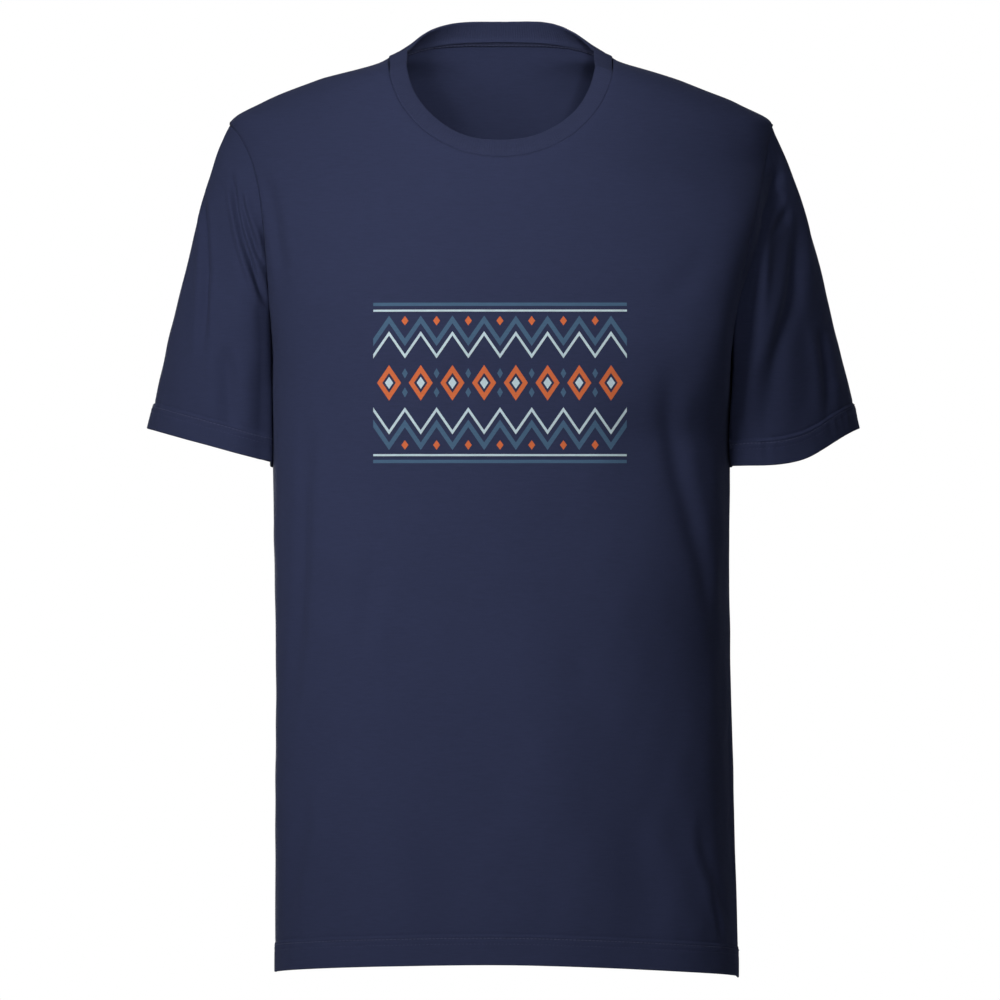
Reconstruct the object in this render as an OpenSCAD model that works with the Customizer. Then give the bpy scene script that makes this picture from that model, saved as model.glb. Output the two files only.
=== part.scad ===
// Short-sleeved crew-neck T-shirt, as it hangs on a wearer or a dress form.
// X runs across the shirt towards the wearer's left, Y towards the back, Z up.
// The origin lies midway between the two points where the shoulder seams meet the neck seam.

/* [Body] */
// Drop from the neck end of the shoulder seam to the bottom edge
body_length = 728; // [600:1:820]
// Width across the worn shirt at the bottom edge
hem_width = 371; // [320:1:440]
// Width across the worn shirt at the waist
waist_width = 363; // [320:1:430]
// Width across the worn shirt at the underarm
chest_width = 368; // [330:1:420]
// Share of the body length at which the waist lies
waist_level = 0.68; // [0.55:0.01:0.8]
// Reach of the front forward of the shoulder line at the bottom edge
hem_front_depth = 101; // [80:1:130]
// Reach of the front forward of the shoulder line at the chest
chest_front_depth = 118; // [95:1:140]
// Reach of the back behind the shoulder line at the bottom edge
hem_back_depth = 96; // [75:1:125]
// Reach of the back behind the shoulder line at the shoulder blades
blade_back_depth = 108; // [85:1:130]
// Drop from the neck point to the fullest part of the back
blade_level = 170; // [130:1:220]
// Power of the rounded oval that the body's level section follows
section_power = 2.3; // [2:0.05:3]
// Rise of the bottom edge at centre front above its sides
hem_rise_front = 10; // [0:0.5:20]
// Rise of the bottom edge at centre back above its sides
hem_rise_back = 4; // [0:0.5:20]

/* [Shoulders and neck] */
// Width from one shoulder tip to the other
shoulder_width = 434; // [390:1:480]
// Drop of the shoulder tip below the neck point
shoulder_drop = 54; // [40:1:75]
// Width of the neck seam from neck point to neck point
neck_width = 180; // [160:1:210]
// Drop of the neck seam at centre front below the neck point
neck_drop = 82; // [60:1:110]
// Rise of the neck seam at centre back above the neck point
neck_rise = 15; // [2:0.5:24]
// Reach of the neck seam forward of the shoulder line at centre front
neck_front_depth = 72; // [58:1:86]
// Reach of the neck's base behind the shoulder line
neck_back_depth = 62; // [50:1:72]
// Width of the ribbed neckband from seam to fold
rib_width = 18; // [12:0.5:30]
// Thickness of the doubled rib
rib_t = 1.8; // [1.2:0.1:3]
// Slope of the neckband above the level at centre front, in degrees
rib_lean_front = 48; // [30:1:70]
// Slope of the neckband above the level at the neck points, in degrees
rib_lean_side = 27; // [15:1:50]
// Slope of the neckband above the level at centre back, in degrees
rib_lean_back = 62; // [40:1:88]

/* [Sleeves] */
// Drop of the underarm point below the shoulder tip
armhole_depth = 186; // [160:1:220]
// Turn of the armhole edge in from the side at its middle, in degrees
armhole_dip = 24; // [16:1:30]
// Drop of the sleeve's outer fold from the shoulder tip to its edge
sleeve_length = 243; // [190:1:300]
// Width of the sleeve's opening from outer fold to underarm seam, seen from the front
sleeve_opening_width = 94; // [85:1:125]
// Depth of the sleeve's opening from front to back
sleeve_opening_depth = 124; // [100:1:145]
// Height of the outer fold's end above the underarm seam's end
sleeve_opening_rise = 30; // [10:1:45]
// Distance of the outer fold's end behind the shoulder line
sleeve_outer_back = 36; // [0:1:60]
// Distance of the underarm seam's end behind the shoulder line
sleeve_inner_back = 24; // [10:1:60]
// Room between the sleeve's underarm seam and the body
sleeve_clearance = 6; // [4:0.5:20]
// Fullness of the sleeve's cap beyond a straight line
sleeve_bulge = 15; // [5:1:25]

/* [Cloth and seams] */
// Thickness of the jersey
jersey_t = 0.8; // [0.5:0.1:1.6]
// Depth of the turned-up bottom hem
bottom_hem = 25; // [15:1:40]
// Depth of the turned-up sleeve hem
sleeve_hem = 19; // [12:1:30]
// Width of the tape over a shoulder seam
tape_width = 9; // [6:0.5:14]
// Width of the tape inside the back neck
neck_tape_width = 6; // [4:0.5:14]
// Thickness of the tape
tape_t = 0.6; // [0.4:0.1:1]
// Width of an overlocked seam allowance
allowance_width = 7; // [4:0.5:10]
// Thickness of an overlocked seam allowance
allowance_t = 1.4; // [0.8:0.1:2]
// Room left at a sewn edge and between plies that lie on each other
seam_gap = 0.4; // [0.2:0.05:0.8]

/* [Hidden] */

navy = [0.12, 0.13, 0.21];
navy_rib = [0.13, 0.14, 0.22];
navy_tape = [0.10, 0.11, 0.18];
FRONT = -1;
BACK = 1;

// Grid of a panel: cells across it, and rows of cells up its side, armhole and shoulder edges
cells_across = 28;
body_rows = 9;
armhole_rows = 10;
shoulder_rows = 6;
sleeve_rows = 9;

// Levels, measured up from the neck points
hem_z = -body_length;
waist_z = -body_length * waist_level;
tip_z = -shoulder_drop;
underarm_z = tip_z - armhole_depth;

// Places along a panel's side edge, from 0 at the bottom edge to 1 at the neck
edge_underarm = 0.62;
edge_tip = 0.86;
edge_hem = edge_underarm * bottom_hem / (underarm_z - hem_z);

// Share of the shoulder's width and drop that two points of its gently rounded line have
shoulder_line = [[1 / 3, 0.44], [2 / 3, 0.79]];
// The neck narrows above the neck points, inside the neckband
neck_top = 40;
neck_top_share = 0.78;

// Level against half width, reach to the front and reach to the back
width_knots = [
    [hem_z - bottom_hem, hem_width / 2],
    [hem_z, hem_width / 2],
    [waist_z, waist_width / 2],
    [underarm_z, chest_width / 2],
    [tip_z, shoulder_width / 2],
    [tip_z * shoulder_line[1][0], neck_width / 2 + (shoulder_width - neck_width) / 2 * shoulder_line[1][1]],
    [tip_z * shoulder_line[0][0], neck_width / 2 + (shoulder_width - neck_width) / 2 * shoulder_line[0][1]],
    [0, neck_width / 2],
    [neck_top, neck_width / 2 * neck_top_share]
];
front_knots = [
    [hem_z - bottom_hem, hem_front_depth],
    [hem_z, hem_front_depth],
    [underarm_z, chest_front_depth],
    [-neck_drop, neck_front_depth],
    [0, neck_front_depth * 0.58],
    [neck_top, neck_front_depth * 0.5]
];
back_knots = [
    [hem_z - bottom_hem, hem_back_depth],
    [hem_z, hem_back_depth],
    [-blade_level, blade_back_depth],
    [0, neck_back_depth],
    [neck_top, neck_back_depth * neck_top_share]
];

function unit(v) = v / norm(v);
function ramp(x) = let (t = min(max(x, 0), 1)) t * t * (3 - 2 * t);
function clip(x) = min(max(x, 0), 1);

// Smooth curve through knots that never overshoots them
function knot_span(k, i) = k[i + 1][0] - k[i][0];
function knot_slope(k, i) = (k[i + 1][1] - k[i][1]) / knot_span(k, i);
function knot_tangent(k, i) =
    i == 0 ? knot_slope(k, 0)
    : i == len(k) - 1 ? knot_slope(k, i - 1)
    : knot_slope(k, i - 1) * knot_slope(k, i) <= 0 ? 0
    : let (a = knot_span(k, i - 1), b = knot_span(k, i))
      3 * (a + b) / ((2 * b + a) / knot_slope(k, i - 1) + (b + 2 * a) / knot_slope(k, i));
function curve(k, z) =
    let (q = min(max(z, k[0][0]), k[len(k) - 1][0]),
         i = min(len([for (p = k) if (p[0] <= q) 1]), len(k) - 1) - 1,
         h = knot_span(k, i),
         t = (q - k[i][0]) / h)
    (2 * t ^ 3 - 3 * t ^ 2 + 1) * k[i][1] + (t ^ 3 - 2 * t ^ 2 + t) * h * knot_tangent(k, i)
    + (3 * t ^ 2 - 2 * t ^ 3) * k[i + 1][1] + (t ^ 3 - t ^ 2) * h * knot_tangent(k, i + 1);

// The body's form: its half width, its reach, and the point and outward normal at a place on it
function half_width(z) = curve(width_knots, z);
function reach(side, z) = curve(side == FRONT ? front_knots : back_knots, z);
function form_point(side, x, z) =
    let (r = min(abs(x) / half_width(z), 1))
    [x, side * reach(side, z) * (1 - r ^ section_power) ^ (1 / section_power), z];
function form_normal(side, p) =
    let (z = p[2], step = 0.5, a = half_width(z), b = reach(side, z), n = section_power,
         da = (half_width(z + step) - half_width(z - step)) / (2 * step),
         db = (reach(side, z + step) - reach(side, z - step)) / (2 * step),
         rx = min(abs(p[0]) / a, 1), ry = min(abs(p[1]) / b, 1))
    unit([sign(p[0]) * rx ^ (n - 1) / a, side * ry ^ (n - 1) / b,
          -rx ^ n * da / a - ry ^ n * db / b]);

// A panel's side edge at a place v: up the side seam, round the armhole, along the shoulder
function edge_level(v) =
    hem_z + (underarm_z - hem_z) * clip(v / edge_underarm)
    + armhole_depth * (1 - cos(180 * clip((v - edge_underarm) / (edge_tip - edge_underarm)))) / 2
    + shoulder_drop * clip((v - edge_tip) / (1 - edge_tip));
function edge_turn(v) =
    90 - armhole_dip * sin(180 * clip((v - edge_underarm) / (edge_tip - edge_underarm)));
function edge_x(v) = half_width(edge_level(v)) * sin(edge_turn(v));

// A point of a panel: u runs from -1 to 1 across it, v from 0 at the bottom edge to 1 at the neck
function centre_level(side, v) =
    let (share = clip((v - 0.3) / 0.7))
    edge_level(v) + (side == FRONT ? -neck_drop * share ^ 2 : neck_rise * share ^ 5);
function panel_point(side, u, v) =
    let (gather = ramp((v - 0.45) / (edge_tip - 0.45)),
         s = abs(u),
         angle = 90 * ((1 - gather) * s + gather * (1 - (1 - s) ^ 2)),
         low = centre_level(side, v),
         sweep = side == FRONT ? 1 - cos(angle) : sin(angle) ^ 4,
         rise = side == FRONT ? hem_rise_front : hem_rise_back,
         z = low + (edge_level(v) - low) * sweep + rise * (1 - v) ^ 8 * cos(angle))
    form_point(side, sign(u) * edge_x(v) * sin(angle), z);
function panel_grid(side, us, vs, inset) =
    [for (v = vs) [for (u = us) let (p = panel_point(side, u, v)) p - inset * form_normal(side, p)]];

across = [for (j = [0 : cells_across]) 2 * j / cells_across - 1];
side_places = [for (i = [0 : body_rows]) edge_hem + (edge_underarm - edge_hem) * i / body_rows];
armhole_places = [for (i = [0 : armhole_rows]) edge_underarm + (edge_tip - edge_underarm) * i / armhole_rows];
shoulder_places = [for (i = [0 : shoulder_rows]) edge_tip + (1 - edge_tip) * i / shoulder_rows];
upright = concat([0], side_places, [for (i = [1 : armhole_rows]) armhole_places[i]],
                 [for (i = [1 : shoulder_rows]) shoulder_places[i]]);

// Place across a panel that lies a given distance in from its side edge, found by halving
function inset_place(side, v, distance, near = 1, far = 0.2, steps = 16) =
    let (mid = (near + far) / 2)
    steps == 0 ? mid
    : norm(panel_point(side, 1, v) - panel_point(side, mid, v)) > distance
    ? inset_place(side, v, distance, near, mid, steps - 1)
    : inset_place(side, v, distance, mid, far, steps - 1);

// The sleeve: turn runs round it from the shoulder tip to the front, the underarm and the back
function armhole_point(turn) =
    let (v = edge_underarm + (edge_tip - edge_underarm) * abs(1 - ((turn + 360) % 360) / 180))
    form_point(sin(turn) >= 0 ? FRONT : BACK, edge_x(v), edge_level(v));
opening_inner_z = tip_z - sleeve_length - sleeve_opening_rise;
opening_inner_x = chest_width / 2
    * (1 - (sleeve_inner_back / reach(BACK, opening_inner_z)) ^ section_power) ^ (1 / section_power)
    + sleeve_clearance;
opening_inner = [opening_inner_x, sleeve_inner_back, opening_inner_z];
opening_outer = [opening_inner_x + sleeve_opening_width, sleeve_outer_back, tip_z - sleeve_length];
function opening_point(turn) =
    (opening_outer + opening_inner) / 2 + (opening_outer - opening_inner) / 2 * cos(turn)
    + [0, -sleeve_opening_depth / 2, 0] * sin(turn);
function sleeve_point(turn, t) =
    let (a = armhole_point(turn), d = opening_point(turn), cap = (1 + cos(turn)) / 2,
         swell = sleeve_bulge * [0.15 + 0.85 * cap, -0.6 * sin(turn), 0.4 * cap],
         b = a + (d - a) / 3 + swell,
         c = a + (d - a) * 2 / 3 + swell / 4)
    a * (1 - t) ^ 3 + b * 3 * (1 - t) ^ 2 * t + c * 3 * (1 - t) * t ^ 2 + d * t ^ 3;
function sleeve_normal(turn, t) =
    let (w = 0.5, s = 0.005)
    unit(cross(sleeve_point(turn + w, t) - sleeve_point(turn - w, t),
               sleeve_point(turn, min(t + s, 1)) - sleeve_point(turn, max(t - s, 0))));
function sleeve_grid(turns, ts, inset) =
    [for (t = ts) [for (f = turns) sleeve_point(f, t) - inset * sleeve_normal(f, t)]];

// Solid between two like grids of points, the first of them on the outside
module sheet(outer, inner, closed = false, flip = false) {
    rows = len(outer);
    cols = len(outer[0]);
    base = rows * cols;
    points = concat([for (r = outer) each r], [for (r = inner) each r]);
    last = cols - 1;
    top = rows - 1;
    wrap = closed ? cols - 1 : cols - 2;
    function at(i, j) = i * cols + j % cols;
    function cell(a, b, c, d) = [[a, b, c], [a, c, d]];
    faces = concat(
        [for (i = [0 : rows - 2], j = [0 : wrap])
            each cell(at(i, j), at(i + 1, j), at(i + 1, j + 1), at(i, j + 1))],
        [for (i = [0 : rows - 2], j = [0 : wrap])
            each cell(base + at(i, j), base + at(i, j + 1), base + at(i + 1, j + 1), base + at(i + 1, j))],
        [for (j = [0 : wrap]) each cell(at(0, j), at(0, j + 1), base + at(0, j + 1), base + at(0, j))],
        [for (j = [0 : wrap])
            each cell(at(top, j + 1), at(top, j), base + at(top, j), base + at(top, j + 1))],
        closed ? [] : [for (i = [0 : rows - 2])
            each cell(at(i + 1, 0), at(i, 0), base + at(i, 0), base + at(i + 1, 0))],
        closed ? [] : [for (i = [0 : rows - 2])
            each cell(at(i, last), at(i + 1, last), base + at(i + 1, last), base + at(i, last))]);
    polyhedron(points, flip ? [for (f = faces) [f[0], f[2], f[1]]] : faces);
}

// One ply of a panel and one ply of a sleeve, a given distance in from the outer face
module panel_ply(side, us, vs, start, thickness) {
    sheet(panel_grid(side, us, vs, start), panel_grid(side, us, vs, start + thickness), flip = side == BACK);
}
module sleeve_ply(turns, ts, start, thickness, closed) {
    sheet(sleeve_grid(turns, ts, start), sleeve_grid(turns, ts, start + thickness), closed);
}

// Front and back of the body, cut to the neck, shoulders, armholes and sides
module front_panel() {
    color(navy)
    panel_ply(FRONT, across, upright, 0, jersey_t);
}
module back_panel() {
    color(navy)
    panel_ply(BACK, across, upright, 0, jersey_t);
}

// Turned-up plies inside the bottom edge
module front_hem() {
    color(navy)
    panel_ply(FRONT, across, [0, edge_hem], jersey_t, jersey_t);
}
module back_hem() {
    color(navy)
    panel_ply(BACK, across, [0, edge_hem], jersey_t, jersey_t);
}

// Sleeve on the wearer's left, a tube from the armhole to its opening
sleeve_turns = [for (i = [0 : 2 * armhole_rows - 1]) 180 * i / armhole_rows];
sleeve_start = seam_gap / sleeve_length;
sleeve_hem_start = 1 - sleeve_hem / (sleeve_length * 0.7);
sleeve_step = (sleeve_hem_start - sleeve_start) / sleeve_rows;
sleeve_places = concat([for (i = [0 : sleeve_rows]) sleeve_start + sleeve_step * i], [1]);
module left_sleeve() {
    color(navy)
    sleeve_ply(sleeve_turns, sleeve_places, 0, jersey_t, true);
}
module right_sleeve() { mirror([1, 0, 0]) left_sleeve(); }

// Turned-up ply inside a sleeve's edge
module left_sleeve_hem() {
    color(navy)
    sleeve_ply(sleeve_turns, [sleeve_hem_start, 1], jersey_t, jersey_t, true);
}
module right_sleeve_hem() { mirror([1, 0, 0]) left_sleeve_hem(); }

// Doubled rib round the neck, folded along its free edge
neck_turns = [for (i = [0 : 47]) 7.5 * i];
function neck_seam_point(turn) =
    let (side = cos(turn) >= 0 ? FRONT : BACK, c = abs(cos(turn)),
         z = side == FRONT ? -neck_drop * c : neck_rise * (1 - sin(turn) ^ 4))
    form_point(side, neck_width / 2 * sin(turn), z);
function rib_lean(turn) =
    rib_lean_side + ((cos(turn) >= 0 ? rib_lean_front : rib_lean_back) - rib_lean_side) * cos(turn) ^ 2;
function rib_point(turn, along, out) =
    let (p = neck_seam_point(turn), inward = unit([-p[0], -p[1], 0]), lean = rib_lean(turn),
         up = [0, 0, 1])
    p + along * (cos(lean) * inward + sin(lean) * up) + out * (cos(lean) * up - sin(lean) * inward);
rib_fold = rib_t / 2;
rib_section = concat(
    [[seam_gap, 0], [rib_width / 2, 0.2 * rib_t]],
    [for (a = [90 : -45 : -90]) [rib_width - rib_fold + rib_fold * cos(a), rib_fold * sin(a) - rib_fold]],
    [[rib_width / 2, -0.8 * rib_t], [seam_gap, -rib_t]]);
module neckband() {
    cols = len(neck_turns);
    rows = len(rib_section);
    points = [for (s = rib_section) each [for (turn = neck_turns) rib_point(turn, s[0], s[1])]];
    function at(i, j) = (i % rows) * cols + j % cols;
    color(navy_rib)
    polyhedron(points, [for (i = [0 : rows - 1], j = [0 : cols - 1])
        each [[at(i, j), at(i + 1, j), at(i + 1, j + 1)], [at(i, j), at(i + 1, j + 1), at(i, j + 1)]]]);
}

// Tape inside the back neck, square to the neck seam and a little clear of the panel's bend
neck_tape_turns = [for (turn = neck_turns) if (turn > 100 && turn < 260) turn];
function neck_tape_grid(inset) =
    [for (distance = [neck_tape_width, rib_t]) [for (turn = neck_tape_turns)
        let (p = neck_seam_point(turn), n = form_normal(BACK, p),
             along = neck_seam_point(turn + 1) - neck_seam_point(turn - 1))
        p + distance * unit(cross(along, n)) - (inset + 0.06 * distance) * n]];
module back_neck_tape() {
    start = jersey_t + seam_gap;
    color(navy_tape)
    sheet(neck_tape_grid(start), neck_tape_grid(start + tape_t));
}

// Strip inside a panel along its side edge, as wide as given
function strip_grid(side, places, width, inset) =
    [for (v = places) [for (u = [inset_place(side, v, width), 1])
        let (p = panel_point(side, u, v)) p - inset * form_normal(side, p)]];

// Tape inside a shoulder seam, half of it on the front and half on the back
module left_shoulder_tape() {
    start = jersey_t + seam_gap;
    function across_seam(inset) =
        [for (v = shoulder_places) concat(strip_grid(FRONT, [v], tape_width / 2, inset)[0],
                                          [strip_grid(BACK, [v], tape_width / 2, inset)[0][0]])];
    color(navy_tape)
    sheet(across_seam(start), across_seam(start + tape_t));
}
module right_shoulder_tape() { mirror([1, 0, 0]) left_shoulder_tape(); }

// Overlocked allowance of a side seam, turned to the back
module left_side_seam() {
    start = jersey_t + seam_gap;
    places = [for (v = side_places) if (v > edge_hem) v];
    color(navy_tape)
    sheet(strip_grid(BACK, places, allowance_width, start),
          strip_grid(BACK, places, allowance_width, start + allowance_t), flip = true);
}
module right_side_seam() { mirror([1, 0, 0]) left_side_seam(); }

// Overlocked allowance round an armhole, turned to the body
module left_armhole_seam() {
    start = jersey_t + seam_gap;
    color(navy_tape)
    for (side = [FRONT, BACK])
        sheet(strip_grid(side, armhole_places, allowance_width, start),
              strip_grid(side, armhole_places, allowance_width, start + allowance_t), flip = side == BACK);
}
module right_armhole_seam() { mirror([1, 0, 0]) left_armhole_seam(); }

// Overlocked allowance of a sleeve's underarm seam
module left_sleeve_seam() {
    start = jersey_t + seam_gap;
    girth = PI * (sleeve_opening_width + sleeve_opening_depth) / 2;
    turns = [180, 180 + 360 * allowance_width / girth];
    places = [for (t = sleeve_places) if (t <= sleeve_hem_start) t];
    color(navy_tape)
    sleeve_ply(turns, places, start, allowance_t, false);
}
module right_sleeve_seam() { mirror([1, 0, 0]) left_sleeve_seam(); }

front_panel();
back_panel();
left_sleeve();
right_sleeve();
neckband();
back_neck_tape();
left_shoulder_tape();
right_shoulder_tape();
front_hem();
back_hem();
left_sleeve_hem();
right_sleeve_hem();
left_side_seam();
right_side_seam();
left_armhole_seam();
right_armhole_seam();
left_sleeve_seam();
right_sleeve_seam();
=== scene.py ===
"""Crew-neck T-shirt: cloth panels, sleeves, neckband, seams, stitching, chest band and studio stage."""

import math
from functools import partial

import bpy
import numpy as np
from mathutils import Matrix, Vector
from mathutils.bvhtree import BVHTree


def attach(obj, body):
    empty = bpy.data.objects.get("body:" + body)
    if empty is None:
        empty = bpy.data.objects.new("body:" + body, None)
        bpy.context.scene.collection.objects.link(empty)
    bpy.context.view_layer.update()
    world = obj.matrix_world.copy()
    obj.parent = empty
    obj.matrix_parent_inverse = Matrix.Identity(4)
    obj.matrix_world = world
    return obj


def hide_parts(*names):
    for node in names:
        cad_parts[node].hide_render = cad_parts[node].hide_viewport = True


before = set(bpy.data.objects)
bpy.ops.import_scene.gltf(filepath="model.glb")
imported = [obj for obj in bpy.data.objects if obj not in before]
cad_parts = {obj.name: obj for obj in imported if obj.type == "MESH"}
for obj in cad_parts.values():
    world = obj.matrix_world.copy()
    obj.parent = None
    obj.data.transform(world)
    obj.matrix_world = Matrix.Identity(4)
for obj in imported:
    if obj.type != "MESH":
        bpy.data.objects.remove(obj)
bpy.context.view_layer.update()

bl_info = {
    "name": "Crew-neck T-shirt",
    "version": (1, 0, 0),
    "blender": (4, 5, 0),
    "location": "View3D > Sidebar > T-shirt",
    "description": "Builds a worn crew-neck T-shirt with its seams, stitching and chest band",
    "category": "Object",
}

FRONT, BACK = -1, 1
MM = 0.001
# Places up a panel's side edge, from 0 to 1, of the underarm and the shoulder tip
EDGE_UNDERARM, EDGE_TIP = 0.62, 0.86
# Points across a panel, and how many of them move to join it to the other panel
PANEL_COLUMNS, JOIN_COLUMNS = 151, 14
# Steps up an armhole's edge, and around the front and the back of a sleeve
ARM_STEPS = 100
SLEEVE_FRONT, SLEEVE_BACK = 150, 66
# Top of the worn form above the neck point, in millimetres
NECK_TOP = 40
# Hems, in millimetres: the stitch rows' distances from the edge, and the radius of the turned edge
BODY_HEM_ROWS, SLEEVE_HEM_ROWS = (16.0, 20.6), (13.2, 17.8)
HEM_ROLL = 0.85
# Inside trim, in millimetres: thickness of tapes and allowances, pitch of the overlock, a thread's stand-off
TAPE_THICKNESS, ALLOWANCE_THICKNESS, OVERLOCK_PITCH, THREAD_LIFT = 0.6, 1.4, 1.9, 0.12
# Chest band, in millimetres: its middle (x, z), the size of its quads and the height of the ink
BAND_CENTRE, BAND_CELL, INK_HEIGHT = (-0.8, -262.0), 2.4, 0.09
# Stage, in metres; the lens in millimetres
FLOOR_LEVEL, FLOOR_RADIUS, FLOOR_SIDES = -0.80, 1.6, 96
CAMERA_PLACE, CAMERA_LENS, CAMERA_SENSOR = (-0.0008, -8.0, -0.3544), 360.0, 36.0
# Lamps: name by the wearer's side, place, aim, size, spread in degrees, watts
LAMPS = [
    ("key", (-0.947, -1.943, 0.637), (0.02, 0, -0.51), (0.5, 0.9), 26, 1.40),
    ("front", (0.191, -2.179, 0.561), (-0.05, 0, -0.12), (0.5, 0.9), 26, 0.41),
    ("side", (-1.547, -1.547, 0.561), (-0.14, 0, -0.16), (0.5, 0.9), 26, 0.42),
    ("neck", (0.35, -2.5, 0.25), (-0.02, 0.03, 0.01), (0.2, 0.2), 9, 0.083),
    ("right_sleeve", (-1.5, -1.9, 0.35), (-0.30, 0, -0.20), (0.3, 0.3), 8, 0.036),
    ("left_sleeve", (1.1, -2.2, 0.45), (0.30, 0, -0.14), (0.3, 0.3), 8, 0.015),
    ("back", (-0.5, 2.6, -0.30), (0, 0, -0.36), (0.7, 0.7), 180, 30),
]
MADE, GROUPS = {}, {}


# ---- settings ----


def length(name, description, default, low=0.0, high=1.0):
    """A size in metres."""
    return bpy.props.FloatProperty(
        name=name, description=description, default=default, min=low, max=high, unit="LENGTH", precision=4
    )


def colour(name, description, default):
    """A linear colour."""
    return bpy.props.FloatVectorProperty(
        name=name, description=description, default=default, size=3, min=0, max=1, subtype="COLOR"
    )


class ShirtCut(bpy.types.PropertyGroup):
    """Sizes that the shirt is cut to."""

    body_length: length("Body length", "Neck point to bottom edge", 0.728)
    hem_width: length("Hem width", "Width across at the bottom edge", 0.371)
    waist_width: length("Waist width", "Width across at the waist", 0.363)
    chest_width: length("Chest width", "Width across at the underarm", 0.368)
    hem_front_depth: length("Hem front depth", "Reach forward at the bottom edge", 0.101)
    chest_front_depth: length("Chest depth", "Reach forward at the chest", 0.118)
    hem_back_depth: length("Hem back depth", "Reach back at the bottom edge", 0.096)
    blade_back_depth: length("Blade depth", "Reach back at the shoulder blades", 0.108)
    blade_level: length("Blade level", "Drop to the fullest part of the back", 0.170)
    hem_rise_front: length("Front hem rise", "Rise of the edge at centre front", 0.010)
    hem_rise_back: length("Back hem rise", "Rise of the edge at centre back", 0.004)
    shoulder_width: length("Shoulder width", "Tip to tip", 0.434)
    shoulder_drop: length("Shoulder drop", "Neck point to shoulder tip", 0.054)
    neck_width: length("Neck width", "Neck point to neck point", 0.180)
    neck_drop: length("Neck drop", "Neck seam's drop at centre front", 0.082)
    neck_rise: length("Neck rise", "Neck seam's rise at centre back", 0.0158)
    neck_front_depth: length("Neck front", "Reach of the neck seam forward", 0.072)
    neck_back_depth: length("Neck back", "Reach of the neck's base back", 0.062)
    rib_width: length("Rib width", "Neckband from seam to fold", 0.0158)
    rib_thickness: length("Rib thickness", "Thickness of the doubled rib", 0.0019)
    armhole_depth: length("Armhole depth", "Shoulder tip to underarm", 0.186)
    sleeve_length: length("Sleeve length", "Drop of the sleeve's outer fold", 0.243)
    sleeve_width: length("Sleeve width", "Opening seen from the front", 0.110)
    sleeve_depth: length("Sleeve depth", "Opening from front to back", 0.124)
    sleeve_rise: length("Sleeve rise", "Outer end of the opening above the inner", 0.030)
    sleeve_outer_back: length("Sleeve outer back", "Outer fold's end behind the shoulder line", 0.026)
    sleeve_back: length("Sleeve back", "Underarm end behind the shoulder line", 0.030)
    sleeve_inset: length("Sleeve inset", "Overlap of the sleeve and the body seen from the front", 0.010)
    sleeve_bulge: length("Sleeve bulge", "Fullness of the cap", 0.015)
    bottom_hem: length("Bottom hem", "Depth of the turned-up hem", 0.025)
    sleeve_hem: length("Sleeve hem", "Depth of the sleeve's hem", 0.019)
    tape_width: length("Tape width", "Width of the shoulder tape", 0.009)
    neck_tape_width: length("Neck tape width", "Width of the back neck tape", 0.0047)
    allowance: length("Allowance", "Width of an overlocked seam", 0.007)
    jersey: length("Jersey thickness", "Thickness of one ply", 0.00075)


class ShirtFinish(bpy.types.PropertyGroup):
    """Colours, stitches and folds."""

    navy: colour("Navy", "Jersey colour", (0.0316, 0.0384, 0.0840))
    rib_navy: colour("Rib navy", "Neckband colour", (0.0318, 0.0382, 0.0815))
    thread: colour("Thread", "Sewing thread", (0.0560, 0.0640, 0.1180))
    tape: colour("Tape", "Tape and overlock", (0.0290, 0.0335, 0.0680))
    ink_warm: colour("Warm ink", "Orange of the chest band", (0.62, 0.150, 0.055))
    ink_slate: colour("Slate ink", "Blue of the chest band", (0.066, 0.125, 0.205))
    ink_pale: colour("Pale ink", "Ice tone of the chest band", (0.52, 0.64, 0.69))
    stitch: length("Stitch length", "One stitch of the hems", 0.0031)
    thread_radius: length("Thread radius", "Half a thread's thickness", 0.00026)
    rib_pitch: length("Rib pitch", "One rib of the neckband", 0.0019)
    fold_depth: bpy.props.FloatProperty(
        name="Fold depth", description="Strength of the folds", default=1.0)


# ---- the worn form, in millimetres ----


def smooth(x):
    """Soft step from 0 to 1."""
    t = np.clip(x, 0.0, 1.0)
    return t * t * (3 - 2 * t)


def unit(v):
    """Vectors scaled to length 1."""
    return v / np.maximum(np.linalg.norm(v, axis=-1, keepdims=True), 1e-9)


def cubic(t, size, start, leave, end, arrive):
    """Curve from one knot to the next, by its slopes at both."""
    return (
        (2 * t**3 - 3 * t**2 + 1) * start + (t**3 - 2 * t**2 + t) * size * leave
        + (3 * t**2 - 2 * t**3) * end + (t**3 - t**2) * size * arrive
    )


class Curve:
    """Smooth curve through knots that never overshoots them."""

    def __init__(self, knots):
        k = np.array(knots, float)
        self.x, self.y = k[:, 0], k[:, 1]
        self.h = np.diff(self.x)
        slope = np.diff(self.y) / self.h
        self.d = np.zeros(len(self.x))
        self.d[0], self.d[-1] = slope[0], slope[-1]
        for i in range(1, len(self.x) - 1):
            if slope[i - 1] * slope[i] > 0:
                a, b = self.h[i - 1], self.h[i]
                self.d[i] = 3 * (a + b) / ((2 * b + a) / slope[i - 1] + (b + 2 * a) / slope[i])

    def __call__(self, q):
        q = np.clip(np.asarray(q, float), self.x[0], self.x[-1])
        i = np.clip(np.searchsorted(self.x, q, side="right") - 1, 0, len(self.x) - 2)
        t = (q - self.x[i]) / self.h[i]
        return cubic(t, self.h[i], self.y[i], self.d[i], self.y[i + 1], self.d[i + 1])


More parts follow.
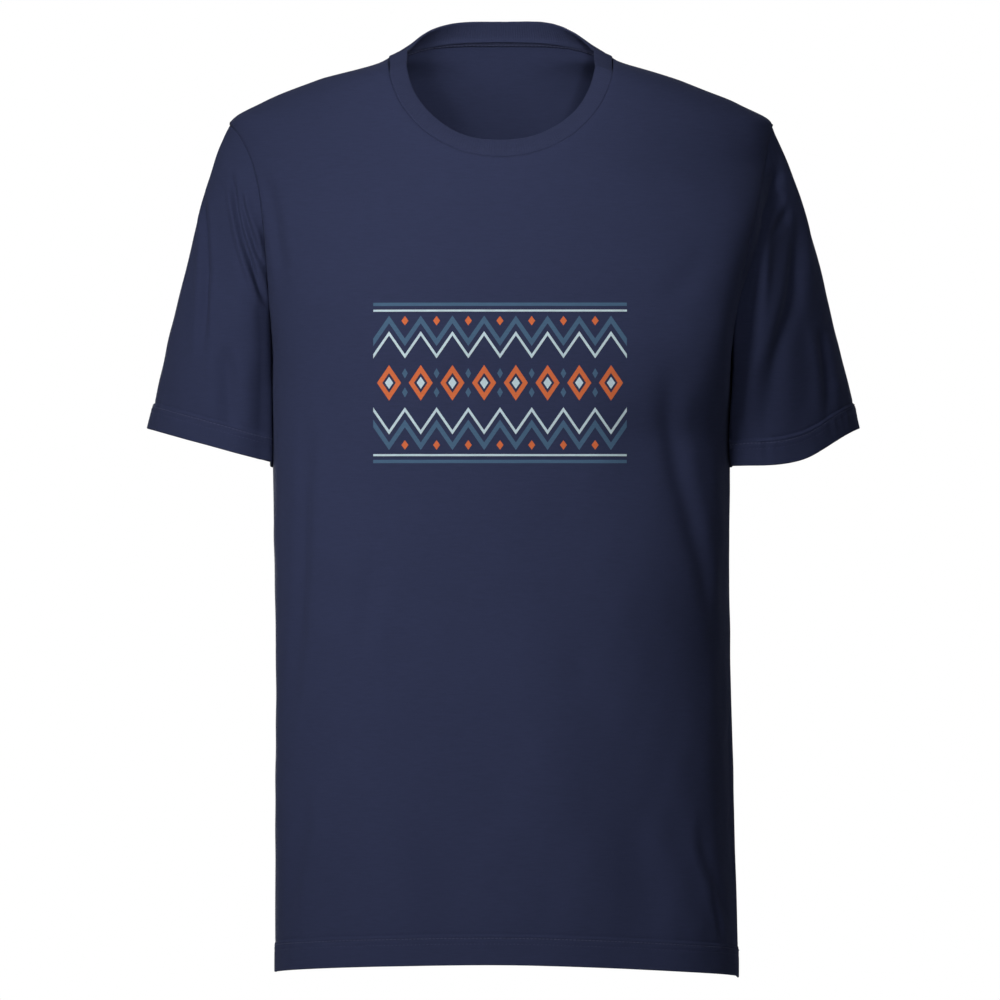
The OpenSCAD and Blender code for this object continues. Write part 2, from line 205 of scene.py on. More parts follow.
class Form:
    """The shirt's worn shape: level ovals up the body, sleeves that grow out of the armholes."""

    power = 2.6
    # turn of the armhole in from the side, by hand, and the sleeve's twist towards the body
    dip = {1: 11.0, -1: 23.5}
    hand, twist = 1, 0.0

    def __init__(self, cut):
        for name in cut.__annotations__:
            setattr(self, name, 1000 * getattr(cut, name))
        self.hem_z = -self.body_length
        self.tip_z = -self.shoulder_drop
        self.underarm_z = self.tip_z - self.armhole_depth
        neck, gain = self.neck_width / 2, (self.shoulder_width - self.neck_width) / 2
        low = self.hem_z - self.bottom_hem
        self.half_width = Curve([
            (low, self.hem_width / 2), (self.hem_z, self.hem_width / 2),
            (-0.68 * self.body_length, self.waist_width / 2), (self.underarm_z, self.chest_width / 2),
            (self.tip_z, self.shoulder_width / 2), (self.tip_z * 2 / 3, neck + 0.79 * gain),
            (self.tip_z / 3, neck + 0.44 * gain), (0, neck), (NECK_TOP, 0.96 * neck)])
        self.front = Curve([
            (low, self.hem_front_depth), (self.hem_z, self.hem_front_depth),
            (self.underarm_z, self.chest_front_depth), (-self.neck_drop, self.neck_front_depth),
            (0, 0.58 * self.neck_front_depth), (NECK_TOP, 0.5 * self.neck_front_depth)])
        self.back = Curve([
            (low, self.hem_back_depth), (self.hem_z, self.hem_back_depth),
            (-self.blade_level, self.blade_back_depth), (0, self.neck_back_depth),
            (NECK_TOP, 0.78 * self.neck_back_depth)])
        inner_z = self.tip_z - self.sleeve_length - self.sleeve_rise
        behind = (self.sleeve_back / self.back(inner_z)) ** self.power
        inner_x = self.chest_width / 2 * (1 - behind) ** (1 / self.power)
        self.opening_inner = np.array([inner_x - self.sleeve_inset, self.sleeve_back, inner_z])
        self.opening_outer = np.array([
            self.opening_inner[0] + self.sleeve_width, self.sleeve_outer_back,
            self.tip_z - self.sleeve_length])

    def reach(self, side, z):
        """Depth of a panel at its middle."""
        return self.front(z) if side == FRONT else self.back(z)

    def fullness(self, side, x, z):
        """Power of the oval at a place: on the left the front is squarer at the armhole and rounder below."""
        if side != FRONT:
            return np.full(np.broadcast(x, z).shape, self.power)
        square = 4.0 * smooth((-z - 80) / 60) * smooth((310 + z) / 110)
        return self.power + (square - 0.5 * smooth((-z - 380) / 120)) * smooth(x / 70)

    def point(self, side, x, z):
        """Point of the form's front or back at a width and a level."""
        r = np.minimum(np.abs(x) / self.half_width(z), 1)
        power = self.fullness(side, x, z)
        y = side * self.reach(side, z) * (1 - r**power) ** (1 / power)
        return np.stack(np.broadcast_arrays(x, y, z), -1)

    def side_x(self, y, z):
        """Half width of the body at a depth and a level."""
        reach = np.where(y < 0, self.front(z), self.back(z))
        power = np.where(y < 0, self.fullness(FRONT, 100.0 * self.hand, z), self.power)
        r = np.minimum(np.abs(y) / reach, 1)
        return self.half_width(z) * (1 - r**power) ** (1 / power)

    def normal(self, side, p):
        """Outward direction at points of the form."""
        z, n, step = p[..., 2], self.fullness(side, p[..., 0], p[..., 2]), 0.5
        a, b = self.half_width(z), self.reach(side, z)
        da = (self.half_width(z + step) - self.half_width(z - step)) / (2 * step)
        db = (self.reach(side, z + step) - self.reach(side, z - step)) / (2 * step)
        rx, ry = np.minimum(np.abs(p[..., 0]) / a, 1), np.minimum(np.abs(p[..., 1]) / b, 1)
        return unit(np.stack([
            np.sign(p[..., 0]) * rx ** (n - 1) / a, side * ry ** (n - 1) / b,
            -(rx**n) * da / a - ry**n * db / b], -1))

    def arm_share(self, v):
        """Place up the armhole, from 0 at the underarm to 1 at the tip."""
        return np.clip((v - EDGE_UNDERARM) / (EDGE_TIP - EDGE_UNDERARM), 0, 1)

    def edge_level(self, v):
        """Level of a panel's side edge."""
        return (
            self.hem_z + (self.underarm_z - self.hem_z) * np.clip(v / EDGE_UNDERARM, 0, 1)
            + self.armhole_depth * (1 - np.cos(np.pi * self.arm_share(v))) / 2
            + self.shoulder_drop * np.clip((v - EDGE_TIP) / (1 - EDGE_TIP), 0, 1)
        )

    def edge_x(self, v, hand):
        """Half width of a panel at its side edge."""
        dip = np.where(np.asarray(hand) < 0, self.dip[-1], self.dip[1])
        turn = np.radians(90 - dip * np.sin(np.pi * self.arm_share(v) ** 1.6))
        return self.half_width(self.edge_level(v)) * np.sin(turn)

    def panel(self, side, u, v):
        """A point of a panel: u across it from -1 to 1, v up its side edge from 0 to 1."""
        gather = 0.4 + 0.6 * smooth((v - 0.45) / (EDGE_TIP - 0.45))
        s = np.abs(u)
        angle = np.pi / 2 * ((1 - gather) * s + gather * (1 - (1 - s) ** 1.5))
        edge = self.edge_level(v)
        up = self.arm_share(v)
        even = edge + self.armhole_depth * (up - (1 - np.cos(np.pi * up)) / 2)
        level = even + (edge - even) * s**2
        low = 0.7 * self.hem_z
        share = np.clip((level - low) / -low, 0, 1)
        if side == FRONT:
            drop = -self.neck_drop * share**2 * np.cos(angle)
        else:
            drop = self.neck_rise * share**5 * (1 - np.sin(angle) ** 4)
        rise = self.hem_rise_front if side == FRONT else self.hem_rise_back
        z = level + drop + rise * (1 - v) ** 8 * np.cos(angle)
        x = self.edge_x(v, u)
        if side == BACK:
            # above the tip a row that rises to the back neck keeps inside the shoulder line
            x = x - smooth((v - EDGE_TIP) / 0.07) * np.maximum(x - self.half_width(z), 0)
        x = x * np.sin(angle)
        # no row runs out past the armhole's edge
        arm = np.linspace(EDGE_UNDERARM, EDGE_TIP, 200)
        height = self.edge_level(arm)
        room = 45 * np.interp(z, height, np.sin(np.pi * self.arm_share(arm) ** 1.6)) * (1 - s)
        edges = [np.interp(z, height, self.edge_x(arm, hand)) - room for hand in (1, -1)]
        beside = (z > self.underarm_z) & (z < self.tip_z)
        x = np.where(beside, np.minimum(x, np.where(u > 0, edges[0], edges[1])), x)
        return self.point(side, np.sign(u) * x, z)

    def armhole(self, turn):
        """Point of the armhole's edge: 0 degrees at the tip, 90 at the front."""
        turn = np.asarray(turn, float) % 360
        v = EDGE_UNDERARM + (EDGE_TIP - EDGE_UNDERARM) * np.abs(1 - turn / 180)
        z, x = self.edge_level(v), self.edge_x(v, self.hand)
        front = np.sin(np.radians(turn)) >= 0
        ahead = self.point(FRONT, self.hand * x, z) * [self.hand, 1, 1]
        return np.where(front[..., None], ahead, self.point(BACK, x, z))

    def sleeve(self, turn, t):
        """Point of a sleeve, from the armhole at 0 to its opening at 1."""
        c, s = np.cos(np.radians(turn)), np.sin(np.radians(turn))
        a = self.armhole(turn)
        middle = (self.opening_outer + self.opening_inner) / 2
        half = (self.opening_outer - self.opening_inner) / 2
        ahead = np.array([0, -self.sleeve_depth / 2, 0]) - self.twist * (half * [1, 0, 1]) / half[0]
        d = middle + half * c[..., None] + ahead * s[..., None]
        cap = (1 + c) / 2
        swell = self.sleeve_bulge * np.stack([0.15 + 0.85 * cap, -0.6 * s, 0.4 * cap], -1)
        b, e, t = a + (d - a) / 3 + swell, a + (d - a) * 2 / 3 + swell / 4, t[..., None]
        return a * (1 - t) ** 3 + b * 3 * (1 - t) ** 2 * t + e * 3 * (1 - t) * t**2 + d * t**3


# ---- folds ----

# Each fold: points (x, z), width, depth, lean of its ridges and, for a few, a fall past it, in millimetres
FRONT_FOLDS = [
    ([(128, -205), (134, -260), (138, -310), (150, -375), (166, -455)], 19, 2.4, 0.1),
    ([(130, -236), (136, -306), (142, -337), (154, -384), (163, -430), (171, -481)], 8, 2.0, 0.5),
    ([(92, -225), (104, -300), (110, -372)], 17, 1.4, -0.2),
    ([(172, -360), (166, -440), (163, -520), (161, -590), (166, -640), (175, -675), (184, -708)],
     13, 0.5, -0.8, 6.4),
    ([(152, -604), (160, -634), (170, -662), (181, -692)], 6, 1.5, -0.9),
    ([(162, -660), (168, -678), (174, -700)], 3.5, 1.7, 0.4),
    ([(92, -600), (112, -652), (124, -700)], 14, 1.2, -0.3),
    ([(-150, -262), (-155, -340), (-161, -440), (-170, -520), (-177, -562)], 8, 2.2, 0.4),
    ([(-122, -245), (-126, -320), (-130, -400)], 15, 1.2, 0.2),
    ([(-100, -395), (-106, -440), (-112, -490)], 9, 1.3, 0.2),
    ([(-157, -575), (-167, -645), (-174, -700)], 9, 2.2, 0.4),
    ([(-40, -600), (-46, -660), (-44, -722)], 18, 1.0, 0.0),
    ([(36, -590), (40, -660), (34, -722)], 18, 1.1, 0.0),
    ([(-191, -88), (-184, -112), (-177, -150), (-172, -190)], 7, 2.2, 0.2),
    ([(166, -150), (150, -176), (124, -205)], 10, 1.0, -0.4),
]
BACK_FOLDS = [
    ([(-112, -190), (-122, -290), (-126, -400), (-120, -520)], 17, 3.0, 0.3),
    ([(108, -200), (120, -300), (128, -410), (126, -500)], 17, 3.2, -0.3),
    ([(-58, -300), (-62, -420), (-54, -560)], 20, 1.8, 0.1),
    ([(52, -330), (60, -450), (64, -590)], 20, 1.9, -0.1),
    ([(-160, -560), (-148, -630), (-140, -716)], 12, 2.4, 0.3),
    ([(150, -545), (142, -620), (138, -716)], 12, 2.6, -0.3),
    ([(-70, -590), (-78, -650), (-80, -720)], 16, 2.0, 0.1),
    ([(10, -600), (4, -660), (8, -722)], 18, 2.0, 0.0),
    ([(84, -600), (80, -660), (78, -720)], 15, 2.0, 0.0),
    ([(-172, -120), (-146, -150), (-116, -176)], 10, 1.8, 0.3),
    ([(172, -124), (146, -156), (114, -186)], 10, 1.8, -0.3),
]
# Folds on the front of each sleeve, given as on the panels
LEFT_SLEEVE_FOLDS = [
    ([(239, -112), (237, -154), (230, -198), (218, -246), (206, -312)], 9, 3.6, -0.5),
    ([(225, -84), (213, -122), (204, -166), (198, -212), (195, -254)], 5, 2.6, 0.6),
    ([(254, -212), (258, -250), (259, -290)], 7, 2.6, -0.2),
    ([(228, -104), (218, -118), (206, -136)], 3.4, 1.4, 0.3),
    ([(226, -88), (220, -98), (212, -108)], 3.4, 1.0, 0.2),
    ([(232, -118), (222, -134), (209, -152)], 3.4, 1.0, 0.2),
]
RIGHT_SLEEVE_FOLDS = [
    ([(-216, -88), (-213, -112), (-208, -138), (-201, -160), (-192, -186), (-186, -206)], 2.6, 4.6, 0.2),
    ([(-209, -104), (-205, -124), (-198, -146), (-190, -170)], 2.6, 3.6, -0.5),
    ([(-239, -104), (-240, -170), (-240, -250)], 5, 4.0, 0.0),
    ([(-222, -228), (-218, -266), (-214, -308)], 8, 3.6, 0.0),
]
# Folds on the back of a sleeve: points (turn in degrees from shoulder tip to front, place along)
SLEEVE_BACK_FOLDS = [
    ([(262, 0.08), (254, 0.30), (240, 0.58)], 9, 3.2, 0.4),
    ([(290, 0.20), (288, 0.50), (286, 0.86)], 12, 1.8, 0.0),
    ([(320, 0.24), (322, 0.56), (324, 0.90)], 12, 1.2, 0.0),
]


def settle(p):
    """The shirt's own uneven hang: the body leans a little to its left, and no two edges hang alike."""
    x, y, z = p[..., 0], p[..., 1], p[..., 2]
    dx = 4.4 * smooth((-z - 300) / 430)
    dx = dx + 3.6 * np.exp(-(((z + 172) / 62) ** 2)) * smooth((-x - 205) / 25)
    dx = dx + 4.0 * smooth((-z - 200) / 90) * smooth((x - 205) / 40)
    dz = -(3.0 + 3.8 * smooth((x + 20) / 200)) * smooth((-z - 540) / 180)
    dz = dz - 2.6 * np.exp(-(((x - 165) / 50) ** 2)) * smooth((z + 110) / 60)
    cuff = np.exp(-(((x - 232) / 42) ** 2)) * smooth((-z - 215) / 90) * smooth((30 - y) / 60)
    return np.stack([x + dx, y, z + dz - 12.5 * cuff * (x > 186)], -1)


def run_along(line):
    """Running length along a line."""
    return np.concatenate([[0], np.cumsum(np.linalg.norm(np.diff(line, axis=0), axis=1))])


def along_line(at, run, line):
    """Values of a line at places along its run."""
    return np.stack([np.interp(at, run, line[:, k]) for k in range(line.shape[1])], -1)


def rounded_path(points, count=18):
    """A smooth path through a few points."""
    p = np.array(points, float)
    t = run_along(p)
    q = np.linspace(0, t[-1], count)
    if (np.diff(t) <= 0).any():
        raise ValueError("a fold's points repeat")
    tangent = np.gradient(p, t, axis=0)
    i = np.clip(np.searchsorted(t, q, side="right") - 1, 0, len(t) - 2)
    h = (t[i + 1] - t[i])[:, None]
    s = ((q - t[i]) / h[:, 0])[:, None]
    return cubic(s, h, p[i], tangent[i], p[i + 1], tangent[i + 1])


def fold_relief(points, path, normals, width, depth, lean, fall=0.0):
    """How far a fold lifts or sinks the cloth: a valley between two soft ridges, and a fall past it."""
    flat = points.reshape(-1, 3)
    start = run_along(path)
    far = 6 * width
    box = (flat > path.min(0) - far).all(1) & (flat < path.max(0) + far).all(1)
    idx = np.nonzero(box)[0]
    f = flat[idx]
    near, along, side = np.full(len(f), 1e9), np.zeros(len(f)), np.zeros(len(f))
    for i, size in enumerate(np.linalg.norm(np.diff(path, axis=0), axis=1)):
        d = (path[i + 1] - path[i]) / size
        t = np.clip((f - path[i]) @ d, 0, size)
        r = f - path[i] - t[:, None] * d
        dist = np.linalg.norm(r, axis=1)
        m = dist < near
        near[m] = dist[m]
        along[m] = (start[i] + t[m]) / start[-1]
        side[m] = np.sign(r[m] @ np.cross(normals[i], d))
    s = near * side / width
    taper = smooth(along / 0.25) * smooth((1 - along) / 0.35)
    # past its ends a fold fades with distance, so the ridges are held to the path's length
    wave = -np.exp(-(s**2)) + 0.42 * (1 + lean) * np.exp(-(((s - 1.8) / 1.1) ** 2))
    wave += 0.42 * (1 - lean) * np.exp(-(((s + 1.8) / 1.1) ** 2))
    wave -= fall * smooth((s + 0.4) / 2.4) * np.exp(-((s / 8) ** 2))
    out = np.zeros(len(flat))
    out[idx] = depth * taper * wave
    return out.reshape(points.shape[:-1])


def ripple(points, seed, size, stretch):
    """Soft seeded unevenness, longer along Z by the stretch."""
    rng, waves = np.random.default_rng(seed), 14
    total = np.zeros(points.shape[:-1])
    for _ in range(waves):
        k = unit(rng.normal(size=3)) * (2 * np.pi / size) * rng.uniform(0.6, 1.5)
        k[2] /= stretch
        total += np.cos(points @ k + rng.uniform(0, 2 * np.pi))
    return total / math.sqrt(waves)


def gathers(place, near, seed, pitch, depth, reach):
    """Small puckers along a seam: place runs along it and near is the distance from it, in millimetres."""
    rng = np.random.default_rng(seed)
    wave = np.zeros(np.broadcast(place, near).shape)
    for _ in range(5):
        wave = wave + np.cos(2 * np.pi * place / (pitch * rng.uniform(0.7, 1.6)) + rng.uniform(0, 6.28))
    return depth * wave / 2.2 * np.exp(-near / reach)


def hem_relief(distance, rows, ply=1.0):
    """Lift of a turned-up hem: its second ply, with ditches at the two stitch rows and past its end."""
    lift = 1.2 * ply * smooth((rows[1] + 2.6 - distance) / 1.5)
    for ditch, deep in zip((*rows, rows[1] + 3.2), (0.12, 0.6, 0.3)):
        lift = lift - deep * ply * np.exp(-(((distance - ditch) / 0.9) ** 2))
    return lift


# ---- grids and meshes ----


def arcs(grid, axis):
    """Running length along one axis of a grid."""
    step = np.linalg.norm(np.diff(grid, axis=axis), axis=-1)
    pad = [(0, 0), (0, 0)]
    pad[axis] = (1, 0)
    return np.cumsum(np.pad(step, pad), axis=axis)


def grid_normals(grid, closed, flip):
    """Directions square to a grid's faces."""
    di = np.gradient(grid, axis=0)
    dj = (np.roll(grid, -1, 1) - np.roll(grid, 1, 1)) / 2 if closed else np.gradient(grid, axis=1)
    n = unit(np.cross(dj, di))
    return -n if flip else n


def level_line(grid, distance):
    """Points a given distance up every column from the grid's first row."""
    run = arcs(grid[..., :3], 0)
    return np.stack([along_line(distance, run[:, j], grid[:, j]) for j in range(grid.shape[1])])


def turned_hem(grid, normals, depth, roll):
    """The grid with its first row's edge rolled under and a ply turned up inside."""
    joined = np.concatenate([grid, normals], axis=-1)
    rows = []
    for d in np.concatenate([np.linspace(depth, 3, 9), [1.2]]):
        line = level_line(joined, d)
        rows.append(line[:, :3] - 2 * roll * unit(line[:, 3:]))
    down = unit(grid[0] - grid[1])
    for a in np.radians([180, 150, 120, 90, 60, 30]):
        rows.append(grid[0] - roll * normals[0] + roll * (math.cos(a) * normals[0] + math.sin(a) * down))
    return np.concatenate([np.array(rows), grid], axis=0)


def shell_object(name, grid, thickness, material, closed, flip, uv):
    """A sheet of cloth with its own thickness, from the points of its outer face in millimetres."""
    n, m = grid.shape[:2]
    inner = grid - thickness * grid_normals(grid, closed, flip)
    points = np.concatenate([grid.reshape(-1, 3), inner.reshape(-1, 3)]) * MM
    cols = m if closed else m - 1
    i, j = np.meshgrid(np.arange(n - 1), np.arange(cols), indexing="ij")
    k = (j + 1) % m
    a, b, c, d = i * m + j, (i + 1) * m + j, (i + 1) * m + k, i * m + k
    # seen from outside, columns run right and rows up
    outer_faces = np.stack([a, d, c, b], -1).reshape(-1, 4)
    base = n * m
    inner_faces = np.stack([a, b, c, d], -1).reshape(-1, 4) + base
    jj = np.arange(cols)
    kk = (jj + 1) % m
    rims = [np.stack([jj, jj + base, kk + base, kk], -1)]
    top = (n - 1) * m
    rims.append(np.stack([top + jj, top + kk, top + kk + base, top + jj + base], -1))
    if not closed:
        ii = np.arange(n - 1)
        rims.append(np.stack([ii * m, (ii + 1) * m, (ii + 1) * m + base, ii * m + base], -1))
        e = m - 1
        rims.append(np.stack([
            ii * m + e, ii * m + e + base, (ii + 1) * m + e + base, (ii + 1) * m + e], -1))
    faces = np.concatenate([outer_faces, inner_faces] + rims)
    if flip:
        faces = faces[:, ::-1]
    return mesh_object(name, points, faces, material, np.concatenate([uv.reshape(-1, 2)] * 2))


def mesh_object(name, points, faces, material, uv):
    """A smooth-shaded mesh with one material."""
    mesh = bpy.data.meshes.new(name)
    mesh.from_pydata(points.tolist(), [], [list(f) for f in faces.tolist()])
    mesh.update()
    layer = mesh.uv_layers.new(name="Cloth")
    loops = np.empty(len(mesh.loops), np.int32)
    mesh.loops.foreach_get("vertex_index", loops)
    layer.data.foreach_set("uv", uv[loops].astype(np.float32).ravel())
    mesh.materials.append(material)
    mesh.polygons.foreach_set("use_smooth", np.ones(len(mesh.polygons), bool))
    obj = bpy.data.objects.new(name, mesh)
    bpy.context.scene.collection.objects.link(obj)
    return obj


def finish_piece(obj, slot, *nodes):
    """Puts a piece on the shirt's one body."""
    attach(obj, "root")
    if nodes:
        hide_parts(*nodes)
    return obj


# ---- shaders ----


def socket(tree, direction, kind, name, default=None, low=None, high=None):
    """Adds a socket to a group's outside."""
    s = tree.interface.new_socket(name=name, in_out=direction, socket_type=kind)
    if default is not None:
        s.default_value = default
    if low is not None:
        s.min_value, s.max_value = low, high
    return s


def new_node(tree, kind, inputs=None, **settings):
    """A node with its settings. An input, by name or place, takes a value or another node's socket."""
    n = tree.nodes.new(kind)
    for name, value in settings.items():
        setattr(n, name, value)
    for key, value in (inputs or {}).items():
        if isinstance(value, bpy.types.NodeSocket):
            tree.links.new(value, n.inputs[key])
        else:
            n.inputs[key].default_value = value
    return n


def math_node(tree, operation, a, b=None, clamp=False):
    """Output of one math node on numbers or sockets."""
    inputs = {0: a} if b is None else {0: a, 1: b}
    return new_node(tree, "ShaderNodeMath", inputs, operation=operation, use_clamp=clamp).outputs[0]


def knit_group():
    """Loops of a plain knit: rows of small chevrons standing in columns."""
    tree = bpy.data.node_groups.new("Knit loops", "ShaderNodeTree")
    calc = partial(math_node, tree)
    socket(tree, "INPUT", "NodeSocketVector", "Cloth place")
    socket(tree, "INPUT", "NodeSocketFloat", "Wale", 0.95, 0.1, 10)
    socket(tree, "INPUT", "NodeSocketFloat", "Course", 0.72, 0.1, 10)
    socket(tree, "OUTPUT", "NodeSocketFloat", "Height")
    socket(tree, "OUTPUT", "NodeSocketFloat", "Gap")
    gin, gout = tree.nodes.new("NodeGroupInput"), tree.nodes.new("NodeGroupOutput")
    sep = new_node(tree, "ShaderNodeSeparateXYZ", {0: gin.outputs["Cloth place"]})
    column = calc("FRACT", calc("DIVIDE", sep.outputs["X"], gin.outputs["Wale"]))
    leg = calc("MULTIPLY", calc("ABSOLUTE", calc("SUBTRACT", column, 0.5)), 2)
    row = calc("DIVIDE", sep.outputs["Y"], gin.outputs["Course"])
    slant = calc("FRACT", calc("ADD", row, calc("MULTIPLY", leg, 0.6)))
    across = calc("SINE", calc("MULTIPLY", leg, math.pi))
    up = calc("SINE", calc("MULTIPLY", slant, math.pi))
    loop = calc("MULTIPLY", calc("POWER", across, 0.6), calc("POWER", up, 0.7), True)
    tree.links.new(loop, gout.inputs["Height"])
    tree.links.new(calc("SUBTRACT", 1.0, loop, True), gout.inputs["Gap"])
    return tree


def tone_group():
    """Slight unevenness of dyed cotton: broad fading, fine fibre flecks and a dull or brighter nap; and
    painted shade, with the colour a little lighter on a knit's loops and darker in the gaps between them.
    """
    tree = bpy.data.node_groups.new("Dyed cotton and loop shade", "ShaderNodeTree")
    calc = partial(math_node, tree)
    socket(tree, "INPUT", "NodeSocketColor", "Dye", (0.03, 0.035, 0.07, 1))
    for name, default in (("Fade", 0.10), ("Fleck", 0.16), ("Slub", 0.24), ("Gap", 0.0)):
        socket(tree, "INPUT", "NodeSocketFloat", name, default, 0, 1)
    socket(tree, "OUTPUT", "NodeSocketColor", "Colour")
    socket(tree, "OUTPUT", "NodeSocketFloat", "Roughness")
    socket(tree, "OUTPUT", "NodeSocketFloat", "Fibre")
    gin, gout = tree.nodes.new("NodeGroupInput"), tree.nodes.new("NodeGroupOutput")
    place = tree.nodes.new("ShaderNodeTexCoord").outputs["Object"]

    def noise(vector, scale, detail):
        values = {"Vector": vector, "Scale": scale, "Detail": detail}
        return new_node(tree, "ShaderNodeTexNoise", values).outputs["Fac"]

    def uneven(value, amount):
        return calc("MULTIPLY", calc("SUBTRACT", value, 0.5), gin.outputs[amount])

    # a yarn's own thick and thin, long across the cloth and short up it
    thin = new_node(tree, "ShaderNodeVectorMath", {0: place, 1: (110, 110, 1000)}, operation="MULTIPLY")
    slub, broad, fine = noise(thin.outputs[0], 1.0, 2.0), noise(place, 9.0, 3.0), noise(place, 1400.0, 2.0)
    level = calc("ADD", uneven(broad, "Fade"), uneven(fine, "Fleck"))
    level = calc("ADD", calc("ADD", level, uneven(slub, "Slub")), 1.0)
    # painted shade: the colour is a little lighter on the knit's loops and darker in the gaps between them
    level = calc("MULTIPLY", level, calc("SUBTRACT", 1.06, calc("MULTIPLY", gin.outputs["Gap"], 0.22)))
    dyed = new_node(
        tree, "ShaderNodeVectorMath", {0: gin.outputs["Dye"], "Scale": level}, operation="SCALE")
    tree.links.new(dyed.outputs[0], gout.inputs["Colour"])
    tree.links.new(calc("ADD", calc("MULTIPLY", fine, 0.12), 0.80), gout.inputs["Roughness"])
    tree.links.new(fine, gout.inputs["Fibre"])
    return tree


def group(name, maker):
    """A node group, made once."""
    if name not in GROUPS:
        GROUPS[name] = maker()
    return GROUPS[name]


def cloth_material(name, dye, wale=0.95, course=0.72, bump=0.35, fleck=0.16, sheen=0.03, knit=True):
    """Cotton of the given dye, with its loops or its plain weave in relief, and with painted shade in the
    gaps between a knit's loops.
    """
    mat = bpy.data.materials.new(name)
    mat.use_nodes = True
    tree = mat.node_tree
    shader = tree.nodes["Principled BSDF"]
    shader.inputs["Specular IOR Level"].default_value = 0.02
    shader.inputs["Sheen Weight"].default_value = sheen
    shader.inputs["Sheen Roughness"].default_value = 0.45
    shader.inputs["Sheen Tint"].default_value = (0.55, 0.60, 0.80, 1)
    tone = new_node(tree, "ShaderNodeGroup", {"Dye": (*dye, 1), "Fleck": fleck},
                    node_tree=group("tone", tone_group))
    height = tone.outputs["Fibre"]
    if knit:
        uv = new_node(tree, "ShaderNodeUVMap", uv_map="Cloth")
        values = {"Cloth place": uv.outputs[0], "Wale": wale, "Course": course}
        loops = new_node(tree, "ShaderNodeGroup", values, node_tree=group("knit", knit_group))
        # the knit's gaps drive the tone group's painted shade between the loops
        tree.links.new(loops.outputs["Gap"], tone.inputs["Gap"])
        fibre = math_node(tree, "MULTIPLY", tone.outputs["Fibre"], 0.6)
        height = math_node(tree, "ADD", loops.outputs["Height"], fibre)
    relief = new_node(
        tree, "ShaderNodeBump", {"Strength": bump, "Distance": 0.00025, "Height": height})
    tree.links.new(tone.outputs["Colour"], shader.inputs["Base Color"])
    tree.links.new(tone.outputs["Roughness"], shader.inputs["Roughness"])
    tree.links.new(relief.outputs[0], shader.inputs["Normal"])
    return mat


def material(key):
    """The shirt's finishes, each made once."""
    if key not in MADE:
        finish = bpy.context.scene.shirt_finish
        ink = dict(bump=0.25, fleck=0.22, sheen=0.02)
        name, dye, look = {
            "jersey": ("Navy jersey", "navy", {}),
            "rib": ("Navy rib", "rib_navy", dict(wale=0.9, course=0.8, bump=0.3)),
            "thread": ("Sewing thread", "thread", dict(bump=0.2, sheen=0.05, knit=False)),
            "tape": ("Navy tape", "tape", dict(wale=1.2, course=0.6, bump=0.5)),
        }.get(key, ("Ink " + key, "ink_" + key, ink))
        MADE[key] = cloth_material(name, getattr(finish, dye), **look)
    return MADE[key]


# ---- stitches ----


def stitch_tree():
    """Places one rounded stitch on every point, along its own direction."""
    tree = bpy.data.node_groups.new("Stitch row", "GeometryNodeTree")
    tree.is_modifier = True
    socket(tree, "INPUT", "NodeSocketGeometry", "Places")
    socket(tree, "INPUT", "NodeSocketFloat", "Stitch length", 0.003)
    socket(tree, "INPUT", "NodeSocketFloat", "Thread radius", 0.0002)
    socket(tree, "INPUT", "NodeSocketMaterial", "Thread")
    socket(tree, "OUTPUT", "NodeSocketGeometry", "Stitches")
    new = partial(new_node, tree)
    gin, gout = new("NodeGroupInput"), new("NodeGroupOutput")
    ball = new("GeometryNodeMeshUVSphere", {"Segments": 6, "Rings": 5, "Radius": 1.0})
    half = math_node(tree, "MULTIPLY", gin.outputs["Stitch length"], 0.5)
    radius = gin.outputs["Thread radius"]
    size = new("ShaderNodeCombineXYZ", {"X": radius, "Y": radius, "Z": half})
    shape = new("GeometryNodeTransform", {"Geometry": ball.outputs["Mesh"], "Scale": size.outputs[0]})
    points = new("GeometryNodeMeshToPoints", {"Mesh": gin.outputs["Places"]})
    run = new("GeometryNodeInputNamedAttribute", {"Name": "run"}, data_type="FLOAT_VECTOR")
    turn = new("FunctionNodeAlignRotationToVector", {"Vector": run.outputs["Attribute"]}, axis="Z")
    place = new("GeometryNodeInstanceOnPoints", {
        "Points": points.outputs["Points"], "Instance": shape.outputs["Geometry"],
        "Rotation": turn.outputs["Rotation"]})
    real = new("GeometryNodeRealizeInstances", {"Geometry": place.outputs["Instances"]})
    soft = new("GeometryNodeSetShadeSmooth", {"Geometry": real.outputs["Geometry"]})
    paint = new("GeometryNodeSetMaterial", {
        "Geometry": soft.outputs["Geometry"], "Material": gin.outputs["Thread"]})
    tree.links.new(paint.outputs["Geometry"], gout.inputs["Stitches"])
    return tree


def stitch_places(line, pitch, closed=False):
    """Centres and directions of stitches at an even pitch along a line, in millimetres."""
    line = np.concatenate([line, line[:1]]) if closed else line
    run = run_along(line)
    count = max(int(run[-1] / pitch), 2)
    at = (np.arange(count) + 0.5) * run[-1] / count
    ahead, behind = along_line(at + 0.4, run, line), along_line(at - 0.4, run, line)
    return along_line(at, run, line), unit(ahead - behind)


def thread_places(path):
    """Centres and directions of threads that each span one step of a path."""
    return (path[:-1] + path[1:]) / 2, unit(np.diff(path, axis=0))


